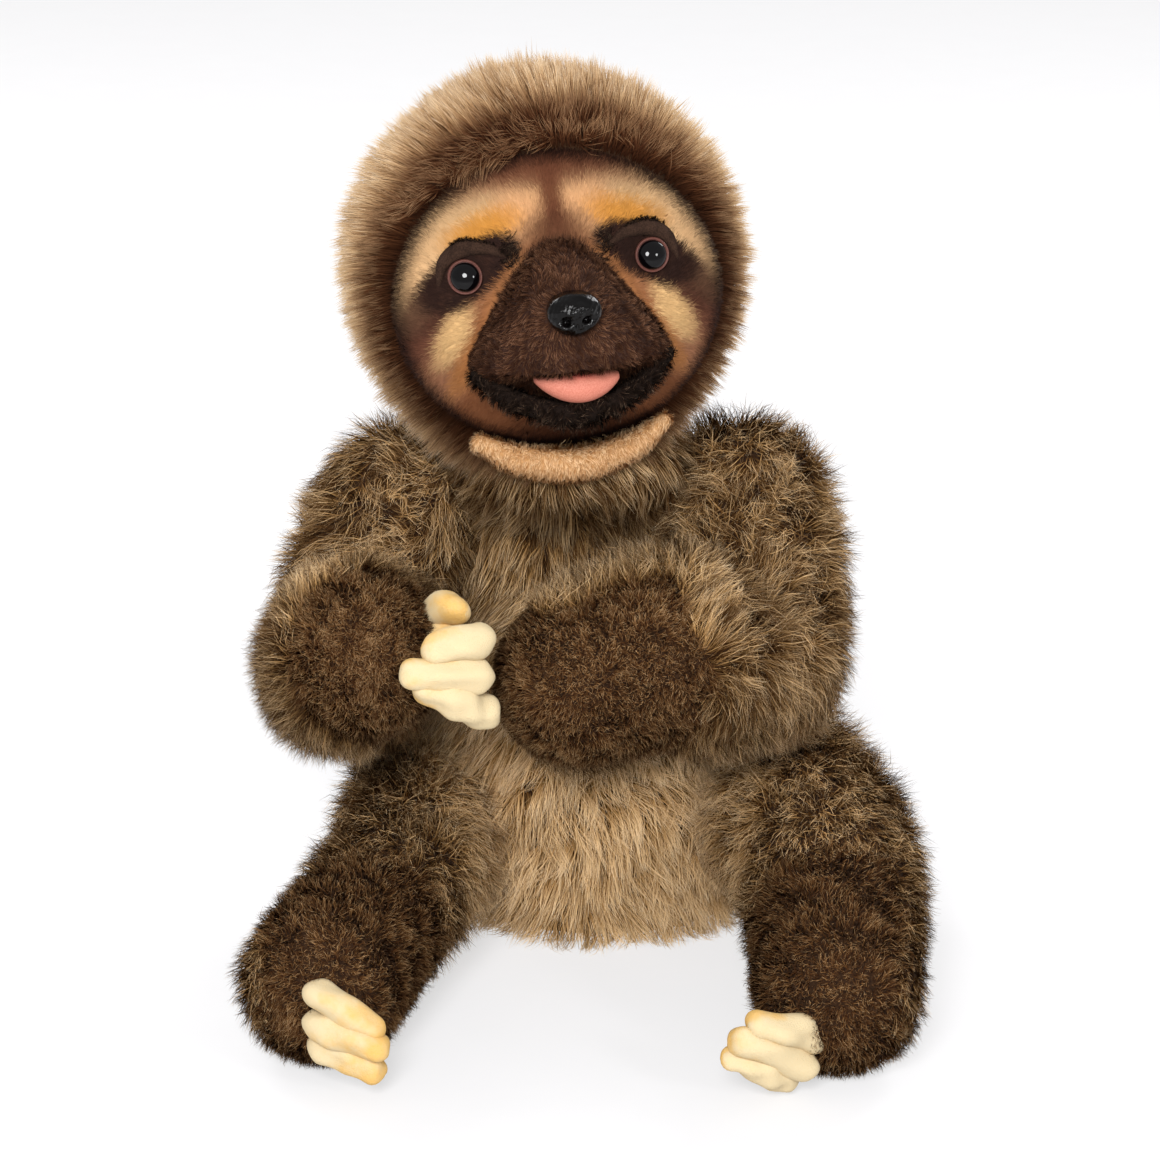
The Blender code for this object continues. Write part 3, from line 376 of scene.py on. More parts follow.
def pile(name, material, roots, normals, seed, length, flow, lift, tone, levels=3, width=0.30,
         clump=24, gather=0.45, mess=0.25, droop=0.15, tone_mess=0.12, floor=0.4 * MM, spread=0.16,
         curl=0.0, frost=0.0, frost_tone=0.45):
    """Strands as thin tapered ribbons.

    A strand's place at a share u of its run is root + length * (u * first + u^2 / 2 * (last - first)),
    where first leans from the normal towards the flow, and last leans further and droops. Each strand
    belongs to the nearest clump, whose own lean, shade and gathering pull it shares. Curl bows a strand
    by 4u(1 - u) in a random direction. Frosted strands are longer and lighter. Ribbons narrow from root
    to tip. The map's U runs from root to tip and V is the strand's shade.
    """
    rng = np.random.default_rng(seed)
    count = len(roots)
    centres = rng.choice(count, max(count // clump, 1), replace=False)
    home = nearest(roots, roots[centres])
    clumps = len(centres)
    own = rng.uniform(0.78, 1.12, count) * rng.normal(1.0, 0.07, clumps)[home]
    tone = np.broadcast_to(np.asarray(tone, float), (count,))
    tone = tone + rng.normal(0, tone_mess, count) + rng.normal(0, tone_mess * 0.8, clumps)[home]
    frosted = rng.random(count) < frost
    tone = np.clip(tone + frosted * frost_tone * rng.uniform(0.5, 1.1, count), 0.03, 0.97)
    longer = np.minimum(own * (1 + 0.14 * frosted), 1.16)
    length = np.broadcast_to(np.asarray(length, float), (count,)) * longer
    lift = np.broadcast_to(np.asarray(lift, float), (count,))[:, None]
    along = flow - dot(flow, normals) * normals
    wander = rng.normal(0, mess, (clumps, 3))[home] + rng.normal(0, spread, (count, 3))
    first = unit(normals * lift + along + wander)
    last = unit(normals * lift * 0.55 + along + wander * 1.2 + (0, 0, -droop))
    shares = np.linspace(0, 1, levels + 1)
    u = shares[:, None, None]
    reach = length[:, None]
    path = roots + reach * (u * first + u * u / 2 * (last - first))
    path = path + reach * 4 * u * (1 - u) * rng.normal(0, curl, (count, 3))
    pull = path[:, centres][:, home] - path
    path = path + pull * gather * u**1.6 * rng.uniform(0.5, 1.3, (clumps, 1))[home]
    path[..., 2] = np.maximum(path[..., 2], floor)
    heading = unit(last + first)
    side = unit(np.cross(heading, normals))
    turn = rng.uniform(-1.2, 1.2, (count, 1))
    side = side * np.cos(turn) + np.cross(heading, side) * np.sin(turn)
    side = side * np.sign(dot(np.cross(side, heading), normals) + 1e-12)
    half = width * MM / 2 * rng.uniform(0.75, 1.25, (count, 1)) * side
    taper = 1 - 0.72 * shares[:-1]
    left = path[:-1] - half * taper[:, None, None]
    right = path[:-1] + half * taper[:, None, None]
    points = np.concatenate([np.stack([left, right], 1).reshape(2 * levels, count, 3), path[-1:]])
    points = points.transpose(1, 0, 2)
    steps = []
    for k in range(levels - 1):
        steps += [(2 * k, 2 * k + 1, 2 * k + 3), (2 * k, 2 * k + 3, 2 * k + 2)]
    steps.append((2 * levels - 2, 2 * levels - 1, 2 * levels))
    steps = np.array(steps)
    corners = (np.arange(count) * (2 * levels + 1))[:, None, None] + steps
    level_u = np.append(np.repeat(shares[:-1], 2), 1.0)
    level_v = np.append(np.tile([-0.01, 0.01], levels), 0.0)
    u_map = np.broadcast_to(level_u[steps], (count, *steps.shape))
    v_map = tone[:, None, None] + level_v[steps]
    uvs = np.stack([u_map, v_map], -1)
    facing = unit(normals + 0.35 * first + rng.normal(0, 0.12, (count, 3)))
    facing = np.repeat(facing[:, None], 2 * levels + 1, axis=1)
    points, facing = points.reshape(-1, 3), facing.reshape(-1, 3)
    return new_piece(name, points, corners.reshape(-1, 3), uvs.reshape(-1, 2), material, facing)


def inside_run(points, knots, radii):
    """How deep points are in a run of round beads: radius less distance, at the nearest of many beads."""
    shares = np.linspace(0, 1, 14)
    beads = through(knots, shares)
    sizes = through(np.asarray(radii, float)[:, None], shares)[:, 0]
    deep = np.full(len(points), -1.0)
    for bead, size in zip(beads, sizes):
        deep = np.maximum(deep, size - np.linalg.norm(points - bead, axis=-1))
    return deep


# Where the forms lie: the head, neck and torso in metres, as the CAD has them, and the limbs in
# millimetres, as the photograph shows them, up to about 12 mm inside the CAD's limbs

HEAD_CENTRE = Vector((-0.014, -0.015, 0.223))
HEAD = (
    Matrix.Translation(HEAD_CENTRE)
    @ Matrix.Rotation(math.radians(7.0), 4, "Z")
    @ Matrix.Rotation(math.radians(-5.0), 4, "X")
    @ Matrix.Rotation(math.radians(-5.0), 4, "Y")
)
HEAD_TURN = np.array(HEAD.to_3x3())
HOOD_SKIN = 0.0570
HOOD_SWELL = 0.0070
FACE_RADIUS = 0.0515
FACE_DROP = 0.0040
FACE_SHARE = 0.90
FACE_SEAT = 0.0240
FACE_RIM = 0.0050
FACE_RISE = 0.0195
FACE_MAP_WIDE = 130
FACE_MAP_LEFT, FACE_MAP_UP = 65, 80
MUZZLE_MIDDLE = 0.046
MUZZLE_DROP = 0.018
MUZZLE_HIGH = 0.0352

NECK = np.mean(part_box("neck_disc_lower"), axis=0)
TORSO_HEIGHT = 0.180
TORSO_LEVELS = (0.0, 0.05, 0.14, 0.28, 0.44, 0.60, 0.76, 0.88, 0.96, 1.0)
TORSO_GIRTHS = (0.84, 0.93, 0.99, 1.0, 0.96, 0.86, 0.76, 0.62, 0.44, 0.30)

LIMBS = {
    "left_upper_arm": ([(50, -9, 141), (53, -31, 123), (54, -53, 106)], (26, 25.5, 23.5)),
    "left_forearm": ([(52, -53, 104), (26, -71, 113), (-3, -88, 111)], (23.5, 28, 25)),
    "right_upper_arm": ([(-61, -9, 140), (-71, -21, 117), (-80, -33, 95)], (25, 25, 23)),
    "right_forearm": ([(-79, -33, 94), (-75, -62, 108), (-70.5, -88, 120.5)], (23, 24, 25)),
    "left_leg": ([(60, -15, 45), (76, -74, 41), (76, -131, 26)], (27, 26.5, 24.5)),
    "right_leg": ([(-51, -11, 37), (-61, -66, 34), (-81.5, -124, 26)], (25, 22.5, 24.5)),
}
CAP = 0.22


def on_face(points):
    """World places of points given as (left, forward, up) in the head."""
    return (np.asarray(points, float) * (1, -1, 1)) @ HEAD_TURN.T + np.array(HEAD_CENTRE)


def in_head(points):
    """(left, forward, up) in the head of world places."""
    return ((np.asarray(points, float) - np.array(HEAD_CENTRE)) @ HEAD_TURN) * (1, -1, 1)


def along_head(vectors):
    """World directions of directions given as (left, forward, up) in the head."""
    return (np.asarray(vectors, float) * (1, -1, 1)) @ HEAD_TURN.T


# Forms: each gives points for shares of two parameters, and may be lifted off its skin


def torso_form(a, b, lift=0.0):
    """The torso: an oval of the girth at each level, up its leaning centre line; a is height, b is round.

    Near the top the centre line bends over the neck's board, and the oval stays wide enough for it.
    """
    a, b = np.broadcast_arrays(np.asarray(a, float), np.asarray(b, float))
    girth = np.interp(a, TORSO_LEVELS, TORSO_GIRTHS)
    neck = ease(a, 0.76, 0.96)
    x = 0.004 - 0.010 * a + (NECK[0] + 0.006) * neck
    y = -0.004 * (1 - a) + NECK[1] * neck
    x = x + (0.054 * girth + 0.004 * neck + lift) * np.cos(2 * np.pi * b)
    y = y + (0.042 * girth + 0.008 * neck + lift) * np.sin(2 * np.pi * b)
    return np.stack([x, y, a * TORSO_HEIGHT], -1)


def limb_form(knots, radii):
    """A stuffed tube with round ends: a runs over its length and caps, b round it."""
    knots, radii = np.asarray(knots, float) * MM, np.asarray(radii, float)[:, None] * MM

    def form(a, b, lift=0.0):
        a, b = np.broadcast_arrays(np.asarray(a, float), np.asarray(b, float))
        share = (a - CAP) / (1 - 2 * CAP)
        inside = np.clip(share, 1 / 64, 1 - 1 / 64)
        tangent = unit(through(knots, inside + 1 / 64) - through(knots, inside - 1 / 64))
        tip = (np.clip(1 - (1 - a) / CAP, 0, 1) - np.clip(1 - a / CAP, 0, 1)) * np.pi / 2
        side = unit(np.cross(tangent, (0.1, 0.05, 1.0)))
        other = np.cross(tangent, side)
        turn, tip = 2 * np.pi * b[..., None], tip[..., None]
        normal = side * np.cos(turn) + other * np.sin(turn)
        radius = through(radii, np.clip(share, 0, 1)) + lift
        return through(knots, share) + radius * (tangent * np.sin(tip) + normal * np.cos(tip))

    return form


def hood_form(a, b, lift=0.0):
    """The hood: a ball from the face's rim (a = 0) to the back of the head (a = 1), swollen at the neck.

    Round the face axis at an angle, the rim lies on the face's oval edge, at the root of
    (p cos t / A)^2 + ((p sin t + drop) / B)^2 = 1, and the skin rises from there to the ball.
    """
    a, b = np.broadcast_arrays(np.asarray(a, float), np.asarray(b, float))
    turn = 2 * np.pi * b
    wide = FACE_RADIUS - 1 * MM
    high = wide * FACE_SHARE
    square = (np.cos(turn) / wide) ** 2 + (np.sin(turn) / high) ** 2
    middle = np.sin(turn) * FACE_DROP / high**2
    reach = (np.sqrt(middle**2 - square * ((FACE_DROP / high) ** 2 - 1)) - middle) / square
    rim = np.arctan2(reach, FACE_SEAT + FACE_RIM)
    start = np.minimum(np.hypot(reach, FACE_SEAT + FACE_RIM), HOOD_SKIN)
    polar = rim + (np.pi - rim) * a
    out = np.stack([np.sin(polar) * np.cos(turn), np.cos(polar), np.sin(polar) * np.sin(turn)], -1)
    full = HOOD_SKIN + HOOD_SWELL * np.clip(-out[..., 2], 0, 1) ** 6
    radius = start + (full - start) * ease(a, 0, 0.06) + lift
    return on_face(out * radius[..., None])


def face_front(left, up):
    """The face's front, forward of the head's middle: a dome with brows, cheeks, chin and eye hollows.

    The dome is rim + rise * sqrt(1 - r^2), r being the share of the way to the oval edge, and each
    bump is a bell curve exp(-(p^2 + q^2)) about its own place.
    """
    share = np.clip(np.hypot(left, (up + FACE_DROP) / FACE_SHARE) / FACE_RADIUS, 0, 1)
    x, h = np.abs(left) / MM, up / MM

    def bell(px, ph, wide, high):
        return np.exp(-(((x - px) / wide) ** 2 + ((h - ph) / high) ** 2))

    relief = 1.3 * bell(23, 25, 14, 7) + 1.6 * bell(35, -13, 8, 10) + 1.6 * bell(0, -41, 20, 7)
    relief = (relief - 1.6 * bell(29, 8.6, 8, 7)) * (1 - share**4)
    return FACE_SEAT + FACE_RIM - 1.2 * MM + FACE_RISE * np.sqrt(1 - share**2) + relief * MM


def face_form(a, b, lift=0.0):
    """The face: an oval of points at a's share of the way to its edge, each at the face's front."""
    a, b = np.broadcast_arrays(np.asarray(a, float), np.asarray(b, float))
    polar = a * np.pi / 2
    radius = (FACE_RADIUS - 0.5 * MM) * np.sin(polar)
    left = radius * np.cos(2 * np.pi * b)
    up = radius * np.sin(2 * np.pi * b) * FACE_SHARE - FACE_DROP
    forward = face_front(left, up) + lift * np.cos(polar)
    spread = 1 + lift * np.sin(polar) / FACE_RADIUS
    return on_face(np.stack([left * spread, forward, up * spread], -1))


def muzzle_form(a, b, lift=0.0):
    """The muzzle: an egg drawn out to the nose; a is the polar share.

    It is pinched towards its top, and its lower half is flat, flatter still at the upper lip. Under
    the nose it is fuller by a bell curve exp(-(p^2 + q^2)).
    """
    a, b = np.broadcast_arrays(np.asarray(a, float), np.asarray(b, float))
    polar, turn = np.pi * a, 2 * np.pi * b
    ahead = np.cos(polar)
    under = np.clip(-np.sin(turn), 0, 1)
    reach = np.where(ahead > 0, 0.0310 - 0.0030 * under, 0.0140) - 0.8 * MM + lift
    lower = 0.0124 - 0.0106 * ease(ahead, 0.25, 0.70)
    up = np.sin(polar) * np.sin(turn)
    high = np.where(up > 0, MUZZLE_HIGH, lower) + lift
    pinch = 1 - 0.50 * np.clip(up, 0, 1)
    left = (0.0307 + lift) * np.sin(polar) * np.cos(turn) * pinch
    place = -MUZZLE_DROP + high * up
    swell = np.exp(-((left / 0.011) ** 2 + ((place - 0.003) / 0.010) ** 2))
    mound = 5.5 * MM * ease(ahead, 0.0, 0.3) * swell
    return on_face(np.stack([left, MUZZLE_MIDDLE + reach * ahead + mound, place], -1))


def grid_of(form, rows, sides):
    """A form's points on a grid, with its rows as shares that leave out both poles."""
    return form(np.asarray(rows)[:, None], (np.arange(sides) / sides)[None, :])


def dress(piece, body, slot, *nodes, fill=None):
    """What every piece says: its body and the nodes that it stands for, which it hides; its finish and its
    stuffing are not used.
    """
    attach(piece, body)
    if nodes:
        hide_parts(*nodes)
    return piece


# Camera, floor and light


def build_studio():
    """The camera at the photograph's angle, a pale floor, a white surround and four soft lamps."""
    lens = bpy.data.cameras.new("camera")
    lens.lens, lens.sensor_width = 122.0, 36.0
    lens.clip_start, lens.clip_end = 0.1, 60.0
    camera = bpy.data.objects.new("camera", lens)
    camera.location = (-0.003, -1.2216, 0.5566)
    camera.rotation_euler = (math.radians(70.0), 0.0, 0.0)
    bpy.context.scene.collection.objects.link(camera)
    bpy.context.scene.camera = camera

    dye = Dye("pale_floor")
    grain = dye.noise(dye.places(), 40.0)
    tint = dye.mix(grain, ink(146, 145, 147), ink(150, 149, 151))
    floor_dye = dye.surface(
        {
            "Base Color": tint,
            "Roughness": 0.9,
            "Specular IOR Level": 0.1,
            "Emission Color": (1.0, 1.0, 1.0, 1.0),
            "Emission Strength": 0.60,
        }
    )
    half_side = 14
    side = np.linspace(-1, 1, 5) * half_side
    x, y = np.meshgrid(side, side)
    points = np.stack([x, y, np.zeros_like(x)], -1).reshape(-1, 3)
    index = np.arange(25).reshape(5, 5)
    corners = np.stack([index[:-1, :-1], index[:-1, 1:], index[1:, 1:], index[1:, :-1]], -1).reshape(-1, 4)
    uvs = (points[corners][..., :2] / (2 * half_side) + 0.5).reshape(-1, 2)
    new_piece("floor", points, corners, uvs, floor_dye)

    world = bpy.data.worlds.new("studio")
    world.use_nodes = True
    background = world.node_tree.nodes["Background"]
    background.inputs["Color"].default_value = (1.0, 1.0, 1.0, 1.0)
    background.inputs["Strength"].default_value = 0.64
    bpy.context.scene.world = world
    bpy.context.scene.view_settings.view_transform = "Standard"
    target = Vector((0.0, 0.0, 0.13))
    for name, place, power, size in (
        ("key_lamp", (-0.20, -1.48, 0.94), 32.0, 0.56),
        ("fill_lamp", (1.1, -1.25, 0.75), 7.0, 0.3),
        ("left_edge_lamp", (0.9, 0.9, 1.0), 10.0, 0.6),
        ("right_edge_lamp", (-0.9, 0.9, 1.0), 10.0, 0.6),
    ):
        lamp = bpy.data.lights.new(name, "AREA")
        lamp.shape, lamp.energy, lamp.size = "DISK", power, size
        made = bpy.data.objects.new(name, lamp)
        made.location = place
        made.rotation_euler = (target - Vector(place)).to_track_quat("-Z", "Y").to_euler()
        bpy.context.scene.collection.objects.link(made)


# Finishes

LONG_DARK = [
    (0.0, ink(26, 11, 1)), (0.35, ink(48, 26, 7)),
    (0.78, ink(80, 51, 22)), (1.0, ink(146, 116, 80)),
]
LONG_LIGHT = [
    (0.0, ink(98, 63, 28)), (0.35, ink(174, 134, 84)),
    (0.75, ink(226, 190, 142)), (1.0, ink(246, 222, 186)),
]
HOOD_DARK = [
    (0.0, ink(30, 11, 4)), (0.40, ink(78, 47, 26)),
    (0.75, ink(140, 103, 70)), (1.0, ink(188, 152, 112)),
]
HOOD_LIGHT = [
    (0.0, ink(46, 20, 8)), (0.40, ink(146, 106, 70)),
    (0.75, ink(214, 177, 132)), (1.0, ink(250, 232, 204)),
]
# The rim's pile is darker than the hood's: partly its own dark roots, partly painted shade in the valley
# where the hood meets the face.
RIM_DARK = [(0.0, ink(24, 8, 3)), (0.50, ink(46, 22, 11)), (1.0, ink(98, 62, 38))]
RIM_LIGHT = [(0.0, ink(34, 14, 6)), (0.50, ink(92, 57, 34)), (1.0, ink(182, 146, 108))]
SHORT_DARK = [(0.0, ink(38, 17, 5)), (0.65, ink(72, 44, 22)), (1.0, ink(124, 90, 58))]
SHORT_LIGHT = [(0.0, ink(60, 33, 13)), (0.6, ink(134, 98, 60)), (1.0, ink(222, 188, 142))]


def finishes():
    """Every pile and backing of the toy."""
    return {
        "long_fur": pile_dye("long_pile", LONG_DARK, LONG_LIGHT),
        "hood_fur": pile_dye("hood_pile", HOOD_DARK, HOOD_LIGHT),
        "rim_fur": pile_dye("rim_pile", RIM_DARK, RIM_LIGHT),
        "short_fur": pile_dye("short_pile", SHORT_DARK, SHORT_LIGHT),
        "backing": backing_dye("brown_backing", ink(30, 18, 9), ink(52, 34, 20)),
    }


# Face paint


def face_dye():
    """The airbrushed velour over (left, up) places: brows, eye patches, cheeks, and dark edges that are
    partly painted shade under the hood, with painted shade in the mouth and under the lip.

    X is the distance from the face's middle and H the height, in millimetres, read from the map.
    Each mask is 1 inside its shape, with a soft edge; shapes are ovals turned by an angle, or
    stripes between a curve and its offset.
    """
    dye = Dye("painted_velour")
    place = dye.map()
    u, v, _ = dye.parts(place)
    wobble = dye.noise(place, 34.0, 4.0, 0.6) - 0.5
    drift = dye.noise(place, 9.0, 2.0, 0.5) - 0.5
    left = u * FACE_MAP_WIDE - FACE_MAP_LEFT + wobble * 2.2
    across = left.size()
    up = v * FACE_MAP_WIDE - FACE_MAP_UP + wobble * 2.4 + drift * 2

    def oval(x, h, long, wide, degrees, soft):
        """1 inside an oval turned by an angle: its edge is where (p / long)^2 + (q / wide)^2 is 1."""
        c, s = math.cos(math.radians(degrees)), math.sin(math.radians(degrees))
        p = ((across - x) * c + (up - h) * s) / long
        q = ((up - h) * c - (across - x) * s) / wide
        return 1 - (p * p + q * q).ramp(1 - soft, 1 + soft)

    radius = (left * left + (up + 4) * (up + 4) * 1.23) ** 0.5
    colour = dye.mix(up.ramp(-20, 24), ink(122, 76, 50), ink(158, 110, 74))
    colour = dye.mix(oval(47, -14, 17, 30, 0, 0.8), colour, ink(98, 60, 44))
    colour = dye.mix(oval(27, 25, 25, 12.5, -26, 0.85), colour, ink(189, 154, 112))
    colour = dye.mix(oval(42, 9, 19, 8.4, -60, 0.85), colour, ink(190, 153, 111))
    colour = dye.mix(oval(11, 25, 8, 8, 0, 0.9) * 0.8, colour, ink(192, 143, 100))
    colour = dye.mix(oval(22, 21.5, 12, 5.2, -20, 0.98) * 0.9, colour, ink(178, 119, 42))
    colour = dye.mix(oval(26, -34, 24, 9, 26, 0.8), colour, ink(118, 73, 46))
    colour = dye.mix(oval(37, -22, 13, 7, -70, 0.9) * 0.8, colour, ink(146, 101, 74))
    colour = dye.mix(oval(34.0, -9.5, 11, 4.4, -62, 0.9), colour, ink(193, 156, 107))
    colour = dye.mix(oval(31.5, -20, 11, 3.4, -66, 0.9) * 0.7, colour, ink(164, 110, 62))
    colour = dye.mix(radius.ramp(36, 47) * up.ramp(24, 38), colour, ink(118, 77, 54))
    middle = across.ramp(6.0, 0.8) * up.ramp(12, 26)
    colour = dye.mix(middle * 0.9, colour, ink(88, 48, 30))
    # Darker at the top middle, by the hood's rim: painted shade where the hood's pile overhangs the face.
    colour = dye.mix(oval(0, 40, 22, 7, 0, 0.9) * 0.8, colour, ink(92, 54, 36))
    tail = oval(42, -2, 12, 6, -52, 0.8)
    colour = dye.mix(tail * 0.9, colour, ink(66, 38, 28))
    patch = oval(28.5, 8.5, 17, 8.0, -31, 0.4).most(oval(21, 14, 10, 6.2, -20, 0.45))
    colour = dye.mix(patch, colour, ink(34, 19, 14))
    shade = (wobble + 0.5).ramp(0.45, 0.75)
    colour = dye.mix(patch * shade * 0.45, colour, ink(66, 41, 30))
    half = (18 - up).most(0.01) ** 0.55 * 4.1
    bottom = 1 - (left * left / (29.5**2) + (up + 14) * (up + 14) / (24.0**2)).ramp(0.9, 1.15)
    line = (across - half).ramp(4.6, 1.0) * up.ramp(-32, -20) * up.ramp(20, 10)
    colour = dye.mix(line * 0.55, colour, ink(142, 90, 48))
    halo = oval(0, 17, 11, 9, 0, 0.9)
    colour = dye.mix(halo * 0.8, colour, ink(70, 38, 24))
    # Near black under the muzzle and in the mouth: painted shade of the mouth's hollow and of the muzzle's
    # overhang.
    under_muzzle_shade = (across - half).ramp(1.8, -1.6) * up.ramp(20, 14)
    under_muzzle_shade = under_muzzle_shade * (up.ramp(-22, -16).most(bottom))
    colour = dye.mix(under_muzzle_shade, colour, ink(40, 23, 15))
    # Darker below the lip and down behind the chin strip: painted shade between the lip and the chin strip.
    colour = dye.mix(oval(0, -45, 26, 7, 0, 0.9) * 0.7, colour, ink(62, 34, 19))
    colour = dye.mix((0 - up).ramp(38, 48) * 0.9, colour, ink(42, 19, 9))
    # Dark towards the edge: partly the face's own dark airbrushed edge, partly painted shade under the
    # hood's rim pile.
    colour = dye.mix(radius.ramp(45.0, 51.0) * 0.95, colour, ink(30, 13, 7))
    return dye.surface({"Base Color": colour, "Roughness": 0.8, "Specular IOR Level": 0.1})


def on_face_map(piece, strand=0, scatter=0.0, seed=0):
    """Gives a piece the face's map: its (left, up) places as shares of 130 mm.

    Where the piece is strands of so many points, a strand takes the place of its root, shifted at
    random, so that the painted edges are as ragged as brushed velour.
    """
    mesh = piece.data
    places = np.empty(len(mesh.vertices) * 3, np.float32)
    mesh.vertices.foreach_get("co", places)
    local = in_head(places.reshape(-1, 3).astype(float)) / MM
    if strand:
        shift = np.random.default_rng(seed).normal(0, scatter, (len(local) // strand, 1, 3))
        within = local.reshape(-1, strand, 3)
        local = (within[:, :1] + shift + (within - within[:, :1]) * 0.05).reshape(-1, 3)
    index = np.empty(len(mesh.loops), np.int32)
    mesh.loops.foreach_get("vertex_index", index)
    uvs = (local[index][:, [0, 2]] + (FACE_MAP_LEFT, FACE_MAP_UP)) / FACE_MAP_WIDE
    mesh.uv_layers[BAKE_MAP].uv.foreach_set("vector", uvs.astype(np.float32).ravel())


# The head


def build_head(dyes):
    """The hood with its long pile, the painted face, the muzzle, the mouth, the nose and the eyes."""
    rows = np.linspace(0, 1, 42)[:-1]
    hood = shell("hood_skin", grid_of(hood_form, rows, 72), dyes["backing"])
    dress(hood, "head", "hood_fur", "head_hood", fill=0.8)

    def hood_density(points, normals):
        local = in_head(points)
        neck = ease(-local[:, 2], 0.040, 0.052) * ease(-local[:, 1], -0.020, 0.012)
        return 1 - 0.9 * neck

    windows = ((0.0, 0.06, 9000), (0.06, 0.42, 39000), (0.42, 1.0, 33000))
    for number, (start, end, count) in enumerate(windows, 1):
        rng = np.random.default_rng(100 + number)
        roots, normals = scattered(hood_form, count, rng, hood_density, (start, end, 0, 1))
        local = in_head(roots)
        back = ease(-local[:, 1], -0.010, 0.045)[:, None]
        sides = ease(np.abs(local[:, :1]), 0.020, 0.050)
        rim = 1 - ease(np.arccos(local[:, 1] / np.linalg.norm(local, axis=-1)), 1.06, 1.19)
        flow = along_head((0, -1.0, 0)) * (1 - back) * 1.2 + np.array((0, 0.25, -0.9)) * back
        flow = flow + np.array((0, 0, -0.30)) * sides + 0.12 * sway(roots, 11, 0.045)
        length = (16.5 - 4.0 * rim - 3.0 * back[:, 0]) * MM
        tone = 0.70 - 0.14 * ease(local[:, 2], 0.025, 0.060) + 0.06 * sway(roots, 12, 0.03)[:, 0]
        # Darker near the face's rim, partly painted shade in the valley there; lighter toward the head's
        # sides, painted light against the shade the pile casts on itself.
        tone = tone - 0.26 * rim + 0.12 * sides[:, 0]
        lift = 0.95 - 0.40 * rim - 0.35 * back[:, 0]
        # The first window, at the face's rim, takes the darker rim pile, which is partly painted shade.
        dye = dyes["rim_fur" if number == 1 else "hood_fur"]
        fur = pile(f"hood_pile_{number}", dye, roots, normals, 110 + number, length, flow, lift, tone,
                   width=0.27, clump=12, gather=0.46, mess=0.10, droop=0.06, spread=0.09, curl=0.018,
                   frost=0.04 if number == 1 else 0.28, frost_tone=0.32)
        dress(fur, "head", "hood_fur")

    velour = face_dye()
    rows = np.linspace(0, 1, 30)[1:]
    face = shell("face_skin", grid_of(face_form, rows, 96), velour)
    on_face_map(face)
    dress(face, "head", "face_velour", "face_panel", fill=0.9)
    rng = np.random.default_rng(140)

    def face_density(points, normals):
        local = in_head(points) / MM
        under = (local[:, 0] / 25) ** 2 + ((local[:, 2] + 10) / 19) ** 2
        eyes = np.hypot(np.abs(local[:, 0]) - 29, local[:, 2] - 8.6)
        return (under > 1) * (eyes > 5.2)

    roots, normals = scattered(face_form, 46000, rng, face_density)
    local = in_head(roots)
    away = local - np.array((0.0, 0.07, -0.008))
    flow = along_head(unit(away) * (1, 0.6, 1)) + 0.25 * sway(roots, 13, 0.02)
    fuzz = pile("face_velour", velour, roots, normals, 141, 1.9 * MM, flow, 0.45, 0.5, levels=2,
                width=0.26, clump=8, gather=0.15, mess=0.14, droop=0.02, tone_mess=0.0)
    on_face_map(fuzz, strand=5, scatter=0.7, seed=142)
    dress(fuzz, "head", "face_velour")

    suede = pile_dye(
        "dark_suede_nap",
        [(0.0, ink(32, 16, 9)), (0.6, ink(50, 29, 18)), (1.0, ink(70, 43, 28))],
        [(0.0, ink(52, 30, 18)), (0.6, ink(104, 70, 50)), (1.0, ink(158, 118, 92))],
    )
    suede_back = backing_dye("suede_backing", ink(36, 21, 15), ink(56, 36, 27), 1400.0)
    rows = np.linspace(0, 1, 34)[1:-1]
    muzzle = shell("muzzle_skin", grid_of(muzzle_form, rows, 72), suede_back)
    dress(muzzle, "head", "dark_suede", "muzzle", fill=0.9)
    rng = np.random.default_rng(150)

    def muzzle_density(points, normals):
        local = in_head(points) / MM
        nose = np.hypot(local[:, 0] / 8.6, local[:, 2] / 6.2)
        return (local[:, 1] > 40) * (nose > 0.9)

    roots, normals = scattered(muzzle_form, 23000, rng, muzzle_density)
    local = in_head(roots)
    away = local - np.array((0.0, 0.085, 0.004))
    flow = along_head(unit(away)) + 0.35 * sway(roots, 14, 0.014)
    under_nose = np.exp(-((local[:, 0] / 0.004) ** 2)) * ease(-local[:, 2], 0.002, 0.010)
    # Darker along a line under the nose; lighter towards the top; darker towards the lower edge over the
    # mouth, which is painted shade under the muzzle's overhang.
    tone = 0.34 + 0.24 * sway(roots, 17, 0.012)[:, 0] + 0.10 * ease(local[:, 2], -0.012, 0.010)
    tone = tone - 0.4 * under_nose - 0.3 * ease(-local[:, 2], 0.012, 0.020)
    fuzz = pile("muzzle_nap", suede, roots, normals, 151, 2.5 * MM, flow, 0.5, tone, levels=2,
                width=0.24, clump=8, gather=0.30, mess=0.30, droop=0.03, tone_mess=0.24, curl=0.08)
    dress(fuzz, "head", "dark_suede")
    build_mouth(dyes)
    build_nose()
    build_eyes(dyes)


def lip_knots(half_width, drop, depth, end_drop, end_depth):
    """A drooping arc across the face, as five knots."""
    return on_face(
        [
            (half_width * a, end_depth + (depth - end_depth) * s, -end_drop - (drop - end_drop) * s)
            for a, s in zip((-1.0, -0.62, 0.0, 0.62, 1.0), (0.0, 0.62, 1.0, 0.62, 0.0))
        ]
    )


